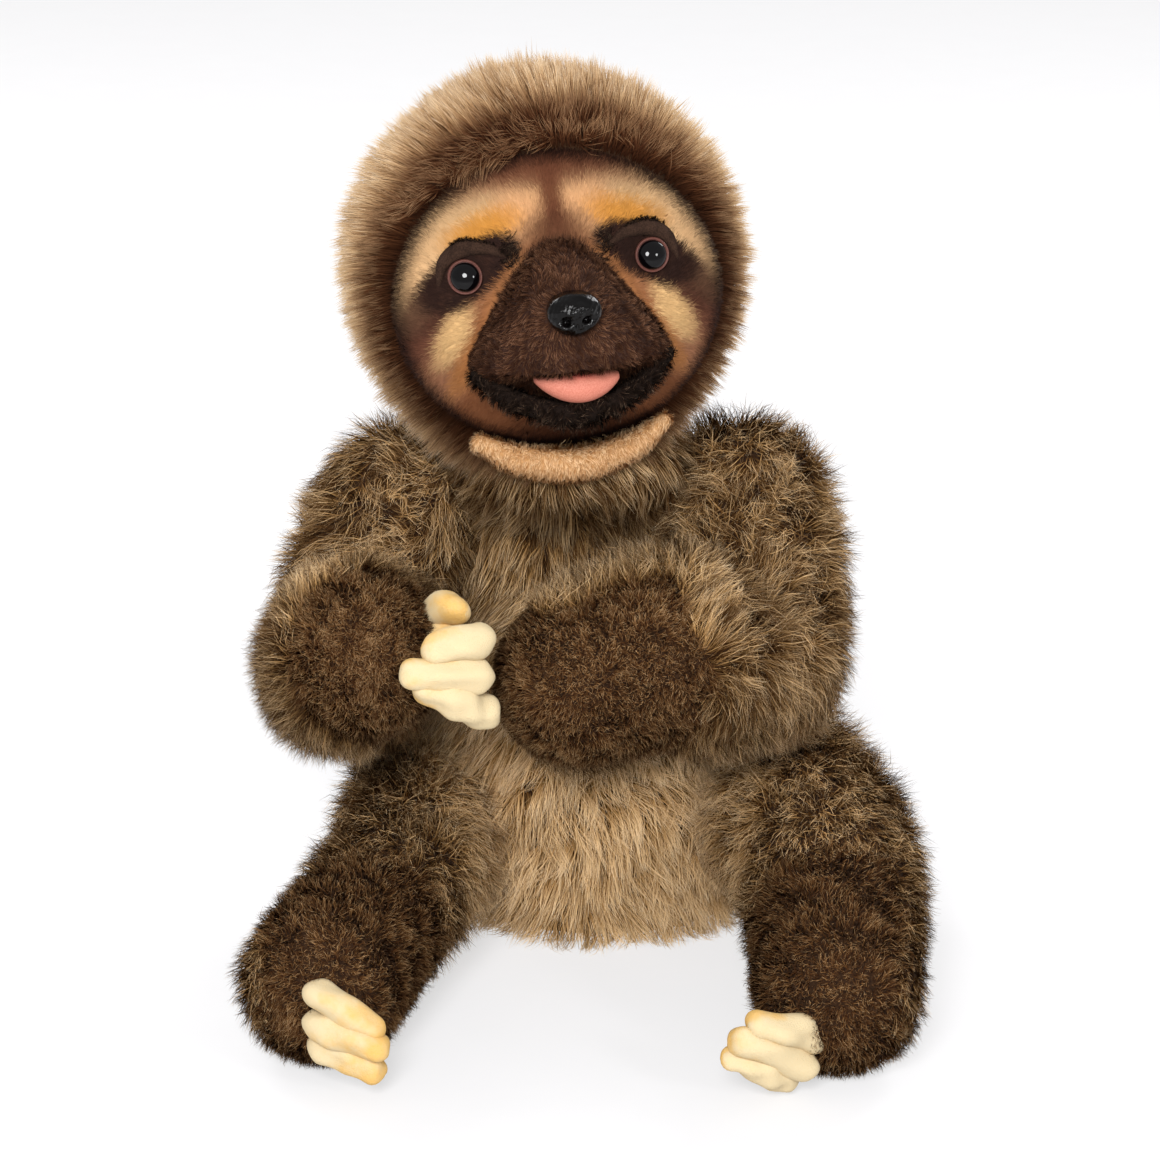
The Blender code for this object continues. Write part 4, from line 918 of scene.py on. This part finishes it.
def build_mouth(dyes):
    """The fuzzy lower lip, the felt tongue and the cream strip under the chin."""
    knots = lip_knots(0.0290, 0.0335, 0.0640, 0.0205, 0.0545)
    lip_form = limb_form(knots / MM, (2.4, 3.1, 3.5, 3.1, 2.4))
    rows = np.linspace(0, 1, 30)[1:-1]
    lip_dye = backing_dye("lip_backing", ink(14, 8, 5), ink(26, 17, 12), 1400.0)
    lip = shell("lip_skin", grid_of(lip_form, rows, 16), lip_dye)
    dress(lip, "head", "dark_suede", "lower_lip", fill=0.8)
    black = pile_dye(
        "black_lip_nap",
        [(0.0, ink(8, 4, 2)), (0.6, ink(15, 9, 6)), (1.0, ink(25, 16, 11))],
        [(0.0, ink(16, 9, 5)), (0.6, ink(54, 38, 29)), (1.0, ink(142, 118, 98))],
    )
    dyes["black"] = black
    rng = np.random.default_rng(160)
    roots, normals = scattered(lip_form, 5600, rng)
    flow = np.array((0, 0, -0.4)) + 0.8 * sway(roots, 15, 0.012)
    inner = ease(normals[:, 2], 0.3, 0.9)
    nap = pile("lip_nap", black, roots, normals, 161, (3.7 - 1.8 * inner) * MM, flow, 0.9, 0.12, levels=3,
               width=0.22, clump=7, gather=0.4, mess=0.5, droop=0.1, tone_mess=0.16, curl=0.12, frost=0.14,
               frost_tone=0.75)
    dress(nap, "head", "dark_suede")

    knots = lip_knots(0.0290, 0.0560, 0.0370, 0.0465, 0.0330)
    chin_form = limb_form(knots / MM, (2.8, 4.4, 5.0, 4.2, 2.4))
    cream_back = backing_dye("cream_backing", ink(150, 108, 66), ink(184, 140, 94), 1400.0)
    chin = shell("chin_skin", grid_of(chin_form, rows, 16), cream_back)
    dress(chin, "head", "chin_velour", "chin_strip", fill=0.8)
    cream = pile_dye(
        "cream_chin_nap",
        [(0.0, ink(140, 92, 52)), (0.6, ink(176, 124, 76)), (1.0, ink(198, 148, 98))],
        [(0.0, ink(190, 146, 100)), (0.6, ink(222, 184, 140)), (1.0, ink(240, 212, 174))],
    )
    rng = np.random.default_rng(170)
    roots, normals = scattered(chin_form, 12000, rng)
    flow = np.array((0.0, -0.3, -0.6)) + 0.3 * sway(roots, 16, 0.02)
    # Lighter where the nap faces up: painted light from above.
    tone = 0.46 + 0.20 * sway(roots, 19, 0.022)[:, 0] + 0.22 * normals[:, 2]
    nap = pile("chin_nap", cream, roots, normals, 171, 2.0 * MM, flow, 0.5, tone, levels=2, width=0.24,
               clump=8, gather=0.20, mess=0.18, droop=0.05, tone_mess=0.18)
    dress(nap, "head", "chin_velour")

    dye = Dye("tongue_felt")
    place = dye.places()
    grain = dye.noise(place, 2600.0)
    along, around, _ = dye.parts(dye.map())
    high = dye.noise(place, 160.0)
    pink = dye.mix(grain.ramp(0.3, 0.7), ink(172, 100, 82), ink(189, 121, 102))
    # Deeper red at the top middle: partly the tongue's own red, partly painted shade under the muzzle's
    # edge.
    top = (1 - (along - 0.5).size().ramp(0.05, 0.34)) * (1 - (around - 0.25).size().ramp(0.05, 0.17))
    pink = dye.mix(top * 0.8 + high * 0.1, pink, ink(184, 70, 62))
    felt = dye.surface(
        {
            "Base Color": pink,
            "Roughness": 0.6,
            "Specular IOR Level": 0.25,
            "Normal": dye.bump(grain, 0.12 * MM),
        }
    )
    a = np.linspace(-1, 1, 42)[1:-1][:, None]
    turn = (np.arange(24) / 24 * 2 * np.pi)[None, :]
    wide = np.sqrt(1 - a * a)
    across = 13.6 * MM * a * np.ones_like(turn)
    up = -24.6 * MM + 2.6 * MM * (a * a) - 1.0 * MM * a + wide**1.3 * np.sin(turn) * 4.9 * MM
    deep = 66.5 * MM - 3.5 * MM * (a * a) + wide**0.8 * np.cos(turn) * 5.6 * MM
    tongue = shell("tongue_pad", on_face(np.stack([across, deep, up], -1)), felt)
    dress(tongue, "head", "tongue_felt", "tongue", fill=0.7)


def build_nose():
    """The moulded nose: a flattened dome with two nostril hollows, a groove between them and rolled wings.

    Behind its widest ring it runs straight back into the muzzle, whose surface lies at
    middle + reach * sqrt(1 - (height above its middle / its high)^2), and 2 mm deeper.
    """
    dye = Dye("glossy_nose")
    place = dye.places()
    grain = dye.noise(place, 1500.0)
    gloss = dye.surface(
        {
            "Base Color": dye.mix(grain.ramp(0.4, 0.7), ink(2, 1, 1), ink(7, 5, 5)),
            "Roughness": grain * 0.10 + 0.05,
            "Specular IOR Level": 0.20,
            "Normal": dye.bump(grain, 0.16 * MM),
        }
    )
    polar = (np.linspace(0, 0.78, 52)[1:] * np.pi)[:, None]
    turn = (np.arange(88) / 88 * 2 * np.pi)[None, :]
    back = np.clip((polar / np.pi - 0.5) / 0.28, 0, 1)
    girth = np.where(back > 0, 1 - 0.14 * back**2, np.sin(polar) ** 0.9)
    x = (8.3 + 0.9 * np.sin(turn)) * MM * girth * np.cos(turn)
    y = 6.6 * MM * girth * np.sin(turn)
    muzzle = MUZZLE_MIDDLE + 0.0302 * np.sqrt(1 - ((y + MUZZLE_DROP) / MUZZLE_HIGH) ** 2)
    z = np.where(back > 0, -back * (0.0772 - muzzle + 2 * MM), 5.2 * MM * np.cos(polar))

    def dent(px, py, sx, sy):
        """A bell curve about a place, 1 in its middle."""
        return np.exp(-(((x - px * MM) / (sx * MM)) ** 2 + ((y - py * MM) / (sy * MM)) ** 2))

    front = np.clip(np.cos(polar), 0, 1)
    hollow = dent(-3.2, -1.6, 1.5, 1.3) + dent(3.2, -1.6, 1.5, 1.3)
    groove = dent(0, -3.6, 0.8, 2.8) * 0.5
    wings = dent(-4.4, -2.9, 2.2, 1.8) + dent(4.4, -2.9, 2.2, 1.8) + dent(0, 2.0, 4.0, 2.0) * 0.7
    z = z + front * MM * (1.2 * wings - 3.0 * hollow - 1.7 * groove)
    leather = sway(np.stack([x, y, z], -1).reshape(-1, 3), 18, 0.0026)[:, 0].reshape(z.shape)
    z = z + 0.15 * MM * leather
    nose = shell("nose_moulding", on_face(np.stack([x, 77.2 * MM + z, y], -1)), gloss)
    dress(nose, "head", "nose_black", "nose")


def build_eyes(dyes):
    """Each eye: a glossy dome in a thin brown-pink ring, with a suede lid sewn over it."""
    dye = Dye("glossy_eye")
    along, _, _ = dye.parts(dye.map())
    fleck = dye.noise(dye.places(), 1500.0)
    ring = along.ramp(0.60, 0.66)
    brown = dye.mix(fleck, ink(50, 26, 21), ink(106, 62, 52))
    eye_dye = dye.surface(
        {
            "Base Color": dye.mix(ring, ink(4, 3, 4), brown),
            "Roughness": ring * 0.40 + 0.04,
            "Specular IOR Level": 0.22,
        }
    )
    lid_dye = backing_dye("lid_suede", ink(34, 22, 16), ink(56, 39, 30), 2200.0)
    turn = (np.arange(40) / 40 * 2 * np.pi)[None, :]
    tufts = ([], [], [], [])
    tuft_hairs = 420
    for side, name in ((1, "left"), (-1, "right")):
        middle = np.array((side * 0.0290, 0.0, 0.0086))
        dome = np.linspace(0, 0.5, 17)[1:] * np.pi
        radius = np.concatenate([4.5 * np.sin(dome), [4.65, 4.85, 5.1, 5.3, 5.3, 5.1, 4.6, 3.0]])
        height = np.concatenate([2.7 * np.cos(dome), [0.15, 0.40, 0.40, 0.1, -0.6, -2.0, -4.0, -4.4]])
        radius, height = radius[:, None] * MM, height[:, None] * MM
        left, up = radius * np.cos(turn), radius * np.sin(turn)
        forward = 0.0440 + height - 0.10 * side * left - 0.17 * up
        grid = np.stack([middle[0] + left, forward, middle[2] + up], -1)
        eye = shell(f"{name}_eye_dome", on_face(grid), eye_dye)
        dress(eye, "head", "eye_black", f"{name}_eye")
        left = side * np.array((37.0, 34.6, 28.5, 21.8, 16.2)) * MM
        up = np.array((6.5, 13.0, 16.9, 16.6, 13.8)) * MM
        places = np.stack([left, face_front(left, up) - 0.3 * MM, up], -1)
        lid_form = limb_form(on_face(places) / MM, (0.8, 2.2, 2.8, 2.1, 0.9))
        rows = np.linspace(0, 1, 30)[1:-1]
        lid = shell(f"{name}_eye_lid", grid_of(lid_form, rows, 24), lid_dye)
        dress(lid, "head", "dark_suede", f"{name}_eyelid", fill=0.6)
        rng = np.random.default_rng(180 + side)
        places, outward = scattered(
            lid_form, 1500, rng, lambda points, normals: ease(normals[:, 2], 0.70, 0.95)
        )
        tufts[0].append(places)
        tufts[1].append(outward)
        tufts[2].append(along_head(np.tile((side * 0.5, 0.1, 0.6), (len(places), 1))))
        tufts[3].append(np.full(len(places), 1.3 * MM))
        left = side * (15.5 + rng.normal(0, 1.6, tuft_hairs)) * MM
        up = (14.0 + rng.normal(0, 2.6, tuft_hairs)) * MM
        places = np.stack([left, face_front(left, up), up], -1)
        tufts[0].append(on_face(places))
        tufts[1].append(along_head(unit(np.stack([left * 8, np.full(tuft_hairs, 1.0), up * 10], -1))))
        tufts[2].append(along_head(np.tile((-side * 0.7, 0.2, 0.5), (tuft_hairs, 1))))
        tufts[3].append(np.full(tuft_hairs, 3.4 * MM))
    roots, normals, flow, length = (np.concatenate(part) for part in tufts)
    hairs = pile("eye_tufts", dyes["black"], roots, normals, 182, length, flow, 0.7, 0.16, width=0.20,
                 clump=6, gather=0.3, mess=0.35, droop=0.0, tone_mess=0.14)
    dress(hairs, "head", "dark_suede")


# The torso


def build_torso(dyes):
    """The torso's skin and its long pile: parted on the chest and flowing down the belly."""
    rows = np.linspace(0.012, 0.985, 40)
    skin = shell("torso_skin", grid_of(torso_form, rows, 72), dyes["backing"])
    dress(skin, "torso", "long_fur", "torso_body", fill=0.8)
    others = {k: v for k, v in LIMBS.items() if "forearm" not in k}

    def density(points, normals):
        buried = 0.053 - np.linalg.norm(points - np.array(HEAD_CENTRE), axis=-1)
        for knots, radii in others.values():
            buried = np.maximum(buried, inside_run(points, np.array(knots) * MM, np.array(radii) * MM))
        return 1 - 0.93 * ease(buried, -1 * MM, 5 * MM)

    rng = np.random.default_rng(200)
    roots, normals = scattered(torso_form, 73000, rng, density, (0.02, 0.99, 0, 1), 90)
    front = ease(-normals[:, 1], 0.05, 0.6)
    belly = front * ease(0.124 - roots[:, 2], 0.0, 0.040)
    chest = front * ease(roots[:, 2], 0.085, 0.115)
    side = np.tanh((roots[:, 0] + 0.006) / 0.012)
    ones = np.ones(len(roots))
    flow = np.stack([side * (0.80 * chest + 0.12 * belly), -0.25 * ones, -ones], -1)
    flow = flow + 0.30 * sway(roots, 21, 0.040)
    # Darker at the top of the neck, under the chin: partly darker pile, partly painted shade under the
    # head.
    tone = 0.27 + 0.60 * belly + 0.09 * sway(roots, 22, 0.03)[:, 0] - 0.26 * ease(roots[:, 2], 0.136, 0.158)
    length = (13.0 + 3.0 * belly) * MM
    lift = 0.75 - 0.15 * belly
    order = np.argsort(roots[:, 2] + 0.3 * (normals[:, 1] > 0.1))
    for number, part in enumerate(np.array_split(order, 3), 1):
        fur = pile(f"torso_pile_{number}", dyes["long_fur"], roots[part], normals[part], 210 + number,
                   length[part], flow[part], lift[part], tone[part], width=0.28, clump=15, gather=0.48,
                   mess=0.26, droop=0.30, tone_mess=0.22, curl=0.04, frost=0.28)
        dress(fur, "torso", "long_fur")


# The limbs

PADS = {
    "left_forearm": ("left_palm", 33000, (1, -108, 107)),
    "right_forearm": ("right_palm", 32000, (-63, -112, 122)),
    "left_leg": ("left_sole", 20000, None),
    "right_leg": ("right_sole", 20000, None),
}
LONG_COUNTS = {
    "left_upper_arm": 30000,
    "right_upper_arm": 27000,
    "left_forearm": 26000,
    "right_forearm": 20000,
    "left_leg": 37000,
    "right_leg": 33000,
}


def pad_share(name, points, normals):
    """How much of the short dense pile shows at a place: 1 on a palm, a sole or a forearm's front."""
    x, y, z = (points / MM).T
    nx, ny, nz = normals.T
    if name == "left_forearm":
        front = ease(-ny, 0.02, 0.36)
        return ease(38 + 5 * np.sin(z / 8) - x, 0, 10) * np.maximum(front, ease(-nx, 0.3, 0.7))
    if name == "right_forearm":
        return ease(0.44 * nx - 0.87 * ny + 0.22 * nz, 0.02, 0.34) * ease(-y - 44, 0, 14)
    side, start = (1, 97) if name == "left_leg" else (-1, 88)
    return ease(-y - start, 0, 16) * ease(-ny + 0.6 * nz + 0.5, 0.0, 0.45) * (1 - ease(side * nx, 0.5, 0.9))


def tan_share(name, points):
    """How far the belly's tan runs onto a thigh: 1 on its inner side, up to a line that nears the foot."""
    x, y, _ = (points / MM).T
    ahead = np.maximum(-50 - y, 0)
    if name == "left_leg":
        return ease(68 - 0.5 * ahead - x, -4, 5) * ease(y + 120, 0, 20)
    if name == "right_leg":
        return ease(x + 58 - 0.6 * ahead, -4, 5) * ease(y + 110, 0, 20)
    return np.zeros(len(points))


def build_limbs(dyes):
    """Each limb's skin, its long pile, and the short pile of its palm or sole."""
    down = np.array((0.0, 0.0, -1.0))
    for number, (name, (knots, radii)) in enumerate(LIMBS.items(), 1):
        form = limb_form(knots, radii)
        rows = np.linspace(0, 1, 40)[1:-1]
        grid = grid_of(form, rows, 48)
        grid[..., 2] = np.maximum(grid[..., 2], 0.8 * MM)
        skin = shell(f"{name}_skin", grid, dyes["backing"])
        dress(skin, name, "long_fur", name, fill=0.85)
        parent = name.replace("forearm", "upper_arm") if "forearm" in name else "torso"

        def buried(points):
            """How deep points are in the form that carries this limb."""
            if parent == "torso":
                level = np.clip(points[:, 2] / TORSO_HEIGHT, 0, 1)
                girth = np.interp(level, TORSO_LEVELS, TORSO_GIRTHS)
                x = (points[:, 0] - 0.004 + 0.010 * level) / (0.054 * girth)
                y = (points[:, 1] + 0.004 * (1 - level)) / (0.042 * girth)
                return (1 - np.hypot(x, y)) * 0.04
            other, sizes = LIMBS[parent]
            return inside_run(points, np.array(other) * MM, np.array(sizes) * MM)

        def long_density(points, normals):
            shown = 1 - 0.92 * ease(buried(points), -1 * MM, 5 * MM)
            shown = shown * (1 - ease(2.0 * MM - points[:, 2], 0, 1.5 * MM))
            return shown * (1 - ease(pad_share(name, points, normals), 0.35, 0.75))

        rng = np.random.default_rng(300 + number)
        roots, normals = scattered(form, LONG_COUNTS[name], rng, long_density)
        along = unit(np.subtract(knots[-1], knots[0]))
        edge = ease(pad_share(name, roots, normals), 0.02, 0.4)
        wave = sway(roots, 31 + number, 0.028)
        length = (11.5 - 2.0 * edge) * MM
        tone = 0.13 + 0.09 * sway(roots, 41 + number, 0.02)[:, 0]
        lift = 0.9
        if "forearm" in name:
            away = unit(roots - np.array(PADS[name][2]) * MM)
            low = ease(-normals[:, 2], 0.3, 0.9)
            fringe = np.maximum(edge * ease(normals[:, 2], -0.2, 0.5), ease(normals[:, 2], 0.3, 0.8))
            fringe = fringe * ease(0.046 - roots[:, 0], 0.0, 0.010)
            flow = away * 0.6 + down * (0.30 - 0.45 * fringe)[:, None] + 0.55 * wave
            tone = tone - 0.17 + 0.56 * fringe + 0.34 * low
            length = length + 2.0 * MM * low
        elif "upper" in name:
            flow = down * 0.6 + normals * (1, 0, 0) * 0.3 + 0.6 * wave
        else:
            tan = tan_share(name, roots)
            flow = along * (0.75 - 0.5 * tan)[:, None] + down * (0.25 + 0.6 * tan)[:, None] + 0.28 * wave
            tone = tone + 0.74 * tan
            lift = 0.70
            length = length + 3.5 * MM * ease(normals[:, 2], 0.2, 0.9) * ease(roots[:, 1], -0.060, -0.020)
            length = length - 4.5 * MM * ease(-roots[:, 1], 0.050, 0.110)
        fur = pile(f"{name}_pile", dyes["long_fur"], roots, normals, 310 + number, length, flow, lift, tone,
                   levels=2, width=0.26, clump=14, gather=0.34, mess=0.34, droop=0.25, tone_mess=0.28,
                   spread=0.27, curl=0.09, frost=0.30, frost_tone=0.55)
        dress(fur, name, "long_fur")
        if name not in PADS:
            continue
        node, count, _ = PADS[name]

        def pad_density(points, normals):
            shown = 1 - 0.95 * ease(buried(points), -1 * MM, 4 * MM)
            shown = shown * (points[:, 2] > 1.5 * MM)
            return shown * ease(pad_share(name, points, normals), 0.25, 0.65)

        rng = np.random.default_rng(340 + number)
        roots, normals = scattered(form, count, rng, pad_density)
        flow = along * 0.25 + down * 0.15 + 0.45 * sway(roots, 51 + number, 0.012)
        tone = 0.22 + 0.04 * sway(roots, 61 + number, 0.010)[:, 0]
        edge = 1 - ease(pad_share(name, roots, normals), 0.4, 0.95)
        short = pile(f"{node}_pile", dyes["short_fur"], roots, normals, 350 + number,
                     (3.4 + 2.5 * edge) * MM, flow, 2.6, tone, levels=2, width=0.25, clump=7, gather=0.06,
                     mess=0.24, droop=0.03, tone_mess=0.26, spread=0.50, curl=0.14, frost=0.16,
                     frost_tone=0.6)
        dress(short, name, "short_fur", node)


# Claws

CLAWS = {
    "left_hand_claw": ("left_forearm", (0, -1.5, 0.6), [
        ((-34.3, -107.5, 131.5), (-46.8, -111.5, 130.5)),
        ((-34.5, -109.0, 121.0), (-52.5, -113.0, 123.0)),
        ((-32.5, -107.5, 108.5), (-49.3, -111.5, 117.5)),
    ]),
    "right_hand_claw": ("right_forearm", (0, 0, 1.0), [
        ((-46.5, -91.0, 134.0), (-41.5, -97.0, 137.0)),
        ((-54, -92.0, 124.5), (-41.0, -97.0, 127.5)),
        ((-54, -90.0, 114.5), (-43.0, -95.0, 115.5)),
    ]),
    "left_foot_claw": ("left_leg", (0, -1.5, 1.5), [
        ((67, -150.5, 20.0), (51.0, -159.0, 27.5)),
        ((64, -152.0, 10.8), (46.0, -160.0, 23.0)),
        ((59, -151.0, 5.6), (44.0, -158.5, 16.5)),
    ]),
    "right_foot_claw": ("right_leg", (0, -1.5, 1.5), [
        ((-81, -149.5, 33.0), (-65.5, -155.5, 25.0)),
        ((-81.5, -150.5, 24.0), (-64.0, -156.5, 18.5)),
        ((-80.5, -149.0, 15.0), (-65.8, -154.5, 11.0)),
    ]),
}


def build_claws():
    """Twelve stuffed claws: stubby tubes, round at both ends, whose velour is dyed amber towards the tips,
    with darker amber painted shade in the creases between them.
    """
    dye = Dye("claw_velour")
    place = dye.places()
    along, around, _ = dye.parts(dye.map())
    cloud = dye.noise(place, 170.0)
    nap = dye.noise(place, 2400.0)
    # Amber in the creases, on the sides that face the next claw, is painted shade; amber towards the tips
    # is the velour's own dye.
    painted_crease_shade = (around - 0.5).size().ramp(0.07, 0.24)
    amber = (along * 0.60 + painted_crease_shade * 0.30 + cloud * 0.85).ramp(0.80, 1.35)
    colour = dye.mix(amber, ink(200, 183, 148), ink(206, 164, 92))
    colour = dye.mix(nap.ramp(0.25, 0.8) * 0.3, colour, ink(208, 178, 128))
    velour = dye.surface(
        {
            "Base Color": colour,
            "Roughness": 0.85,
            "Specular IOR Level": 0.1,
            "Normal": dye.bump(nap, 0.35 * MM),
        }
    )
    for name, (body, bow, places) in CLAWS.items():
        for number, (base, tip) in enumerate(places, 1):
            knots = [base, np.add(base, tip) / 2 + bow, tip]
            form = limb_form(knots, (5.6, 5.6, 4.8) if "hand" in name else (5.0, 5.1, 4.5))
            rows = np.linspace(0, 1, 32)[1:-1]
            grid = grid_of(form, rows, 32)
            lumps = sway(grid.reshape(-1, 3), 400 + number, 0.010)[:, :1].reshape(*grid.shape[:2], 1)
            grid = form(rows[:, None], np.arange(32) / 32, 0.52 * MM * lumps)
            made = shell(f"{name}_cover_{number}", grid, velour)
            dress(made, body, "cream_velour", f"{name}_{number}", fill=0.9)


def build_pouch():
    """The pellet pouch in the seat: a drum whose sides bulge by r = R (1 - 0.1 z^4), and pulled-in ends."""
    low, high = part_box("pellet_bag")
    middle, half = np.array((low + high) / 2), np.array((high - low) / 2)
    a = np.linspace(-1, 1, 26)[1:-1][:, None]
    turn = (np.arange(48) / 48 * 2 * np.pi)[None, :]
    girth = (1 - a**6) ** 0.35 * (1 - 0.03 * np.cos(12 * turn) * a * a)
    grid = np.stack([girth * np.cos(turn), girth * np.sin(turn), a * np.ones_like(turn)], -1)
    dye = fitting_dye("pouch_calico", ink(196, 190, 176), ink(214, 209, 196), 0.85, 0.0, 2600.0, 0.20 * MM)
    pouch = shell("pellet_pouch", middle + grid * half, dye)
    dress(pouch, "torso", "bag_cloth", "pellet_bag", fill=0.7)


def finish_fittings():
    """The board, steel, plastic and base cloth that the CAD nodes keep."""
    looks = {
        "steel": ("brushed_steel", (170, 170, 172), (198, 198, 200), 0.3, 1.0, 1800.0, 0.02),
        "fibreboard": ("pressed_board", (140, 104, 66), (168, 128, 86), 0.7, 0.0, 1200.0, 0.10),
        "plastic": ("white_nylon", (214, 213, 208), (228, 227, 222), 0.4, 0.0, 900.0, 0.03),
        "base": ("woven_base", (58, 44, 32), (84, 66, 50), 0.85, 0.0, 2600.0, 0.20),
    }
    made = {
        word: fitting_dye(name, ink(*dark), ink(*light), roughness, metallic, scale, depth * MM)
        for word, (name, dark, light, roughness, metallic, scale, depth) in looks.items()
    }
    words = (("pin", "steel"), ("neck_washer", "steel"), ("disc", "fibreboard"),
             ("eye_washer", "plastic"), ("seat_panel", "base"))
    for name, node in frame["nodes"].items():
        for word, finish in words:
            if word in name:
                node.data.materials.clear()
                node.data.materials.append(made[finish])
    build_wires(made["steel"])


# The wires, from their fixed ends in the torso to their tips, in millimetres

WIRES = {
    "left_arm": ((11.8, -8.9, 140.0), ("left_shoulder", "left_elbow"), [(-5.2, -91.4, 110.4)]),
    "right_arm": ((-22.8, -8.9, 140.0), ("right_shoulder", "right_elbow"), [(-78.5, -97.5, 124.3)]),
    "left_leg": ((14.7, -17.5, 40.0), ("left_hip",), [(76.6, -78.0, 37.8), (74.9, -138.5, 25.7)]),
    "right_leg": ((-9.0, -12.7, 40.0), ("right_hip",), [(-68.3, -72.0, 33.4), (-81.8, -131.5, 26.2)]),
}
WIRE_RADIUS = 1.2
WIRE_BEND = 12 * MM


def build_wires(steel):
    """The steel wire in each limb, a thin tube through its joints.

    An arm's wire is in two pieces that overlap in the middle of the upper arm.
    """
    joints = {joint["name"]: joint for joint in frame["record"]["behaviour"]["joints"]}
    for name, (start, crossed, ends) in WIRES.items():
        middles = [np.array(joints[joint]["pos_m"]) / MM for joint in crossed]
        route = [np.array(start), *middles, *(np.array(end) for end in ends)]
        windows = ((0.0, 0.52), (0.48, 1.0)) if len(crossed) == 2 else ((0.0, 1.0),)
        for number, (joint, window) in enumerate(zip(crossed, windows), 1):
            knots = through(route, np.linspace(*window, 24))
            form = limb_form(knots, (WIRE_RADIUS, WIRE_RADIUS))
            piece = shell(f"{name}_wire_{number}", grid_of(form, np.linspace(0, 1, 90)[1:-1], 10), steel)
            before, at, after = (route[number + k] for k in (-1, 0, 1))
            tuple(at * MM - unit(at - before) * WIRE_BEND)
            tuple(at * MM + unit(after - at) * WIRE_BEND)
            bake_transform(piece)
            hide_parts(f"{name}_wire")


build_studio()
finish_fittings()
DYES = finishes()
build_torso(DYES)
build_limbs(DYES)
build_head(DYES)
build_claws()
build_pouch()
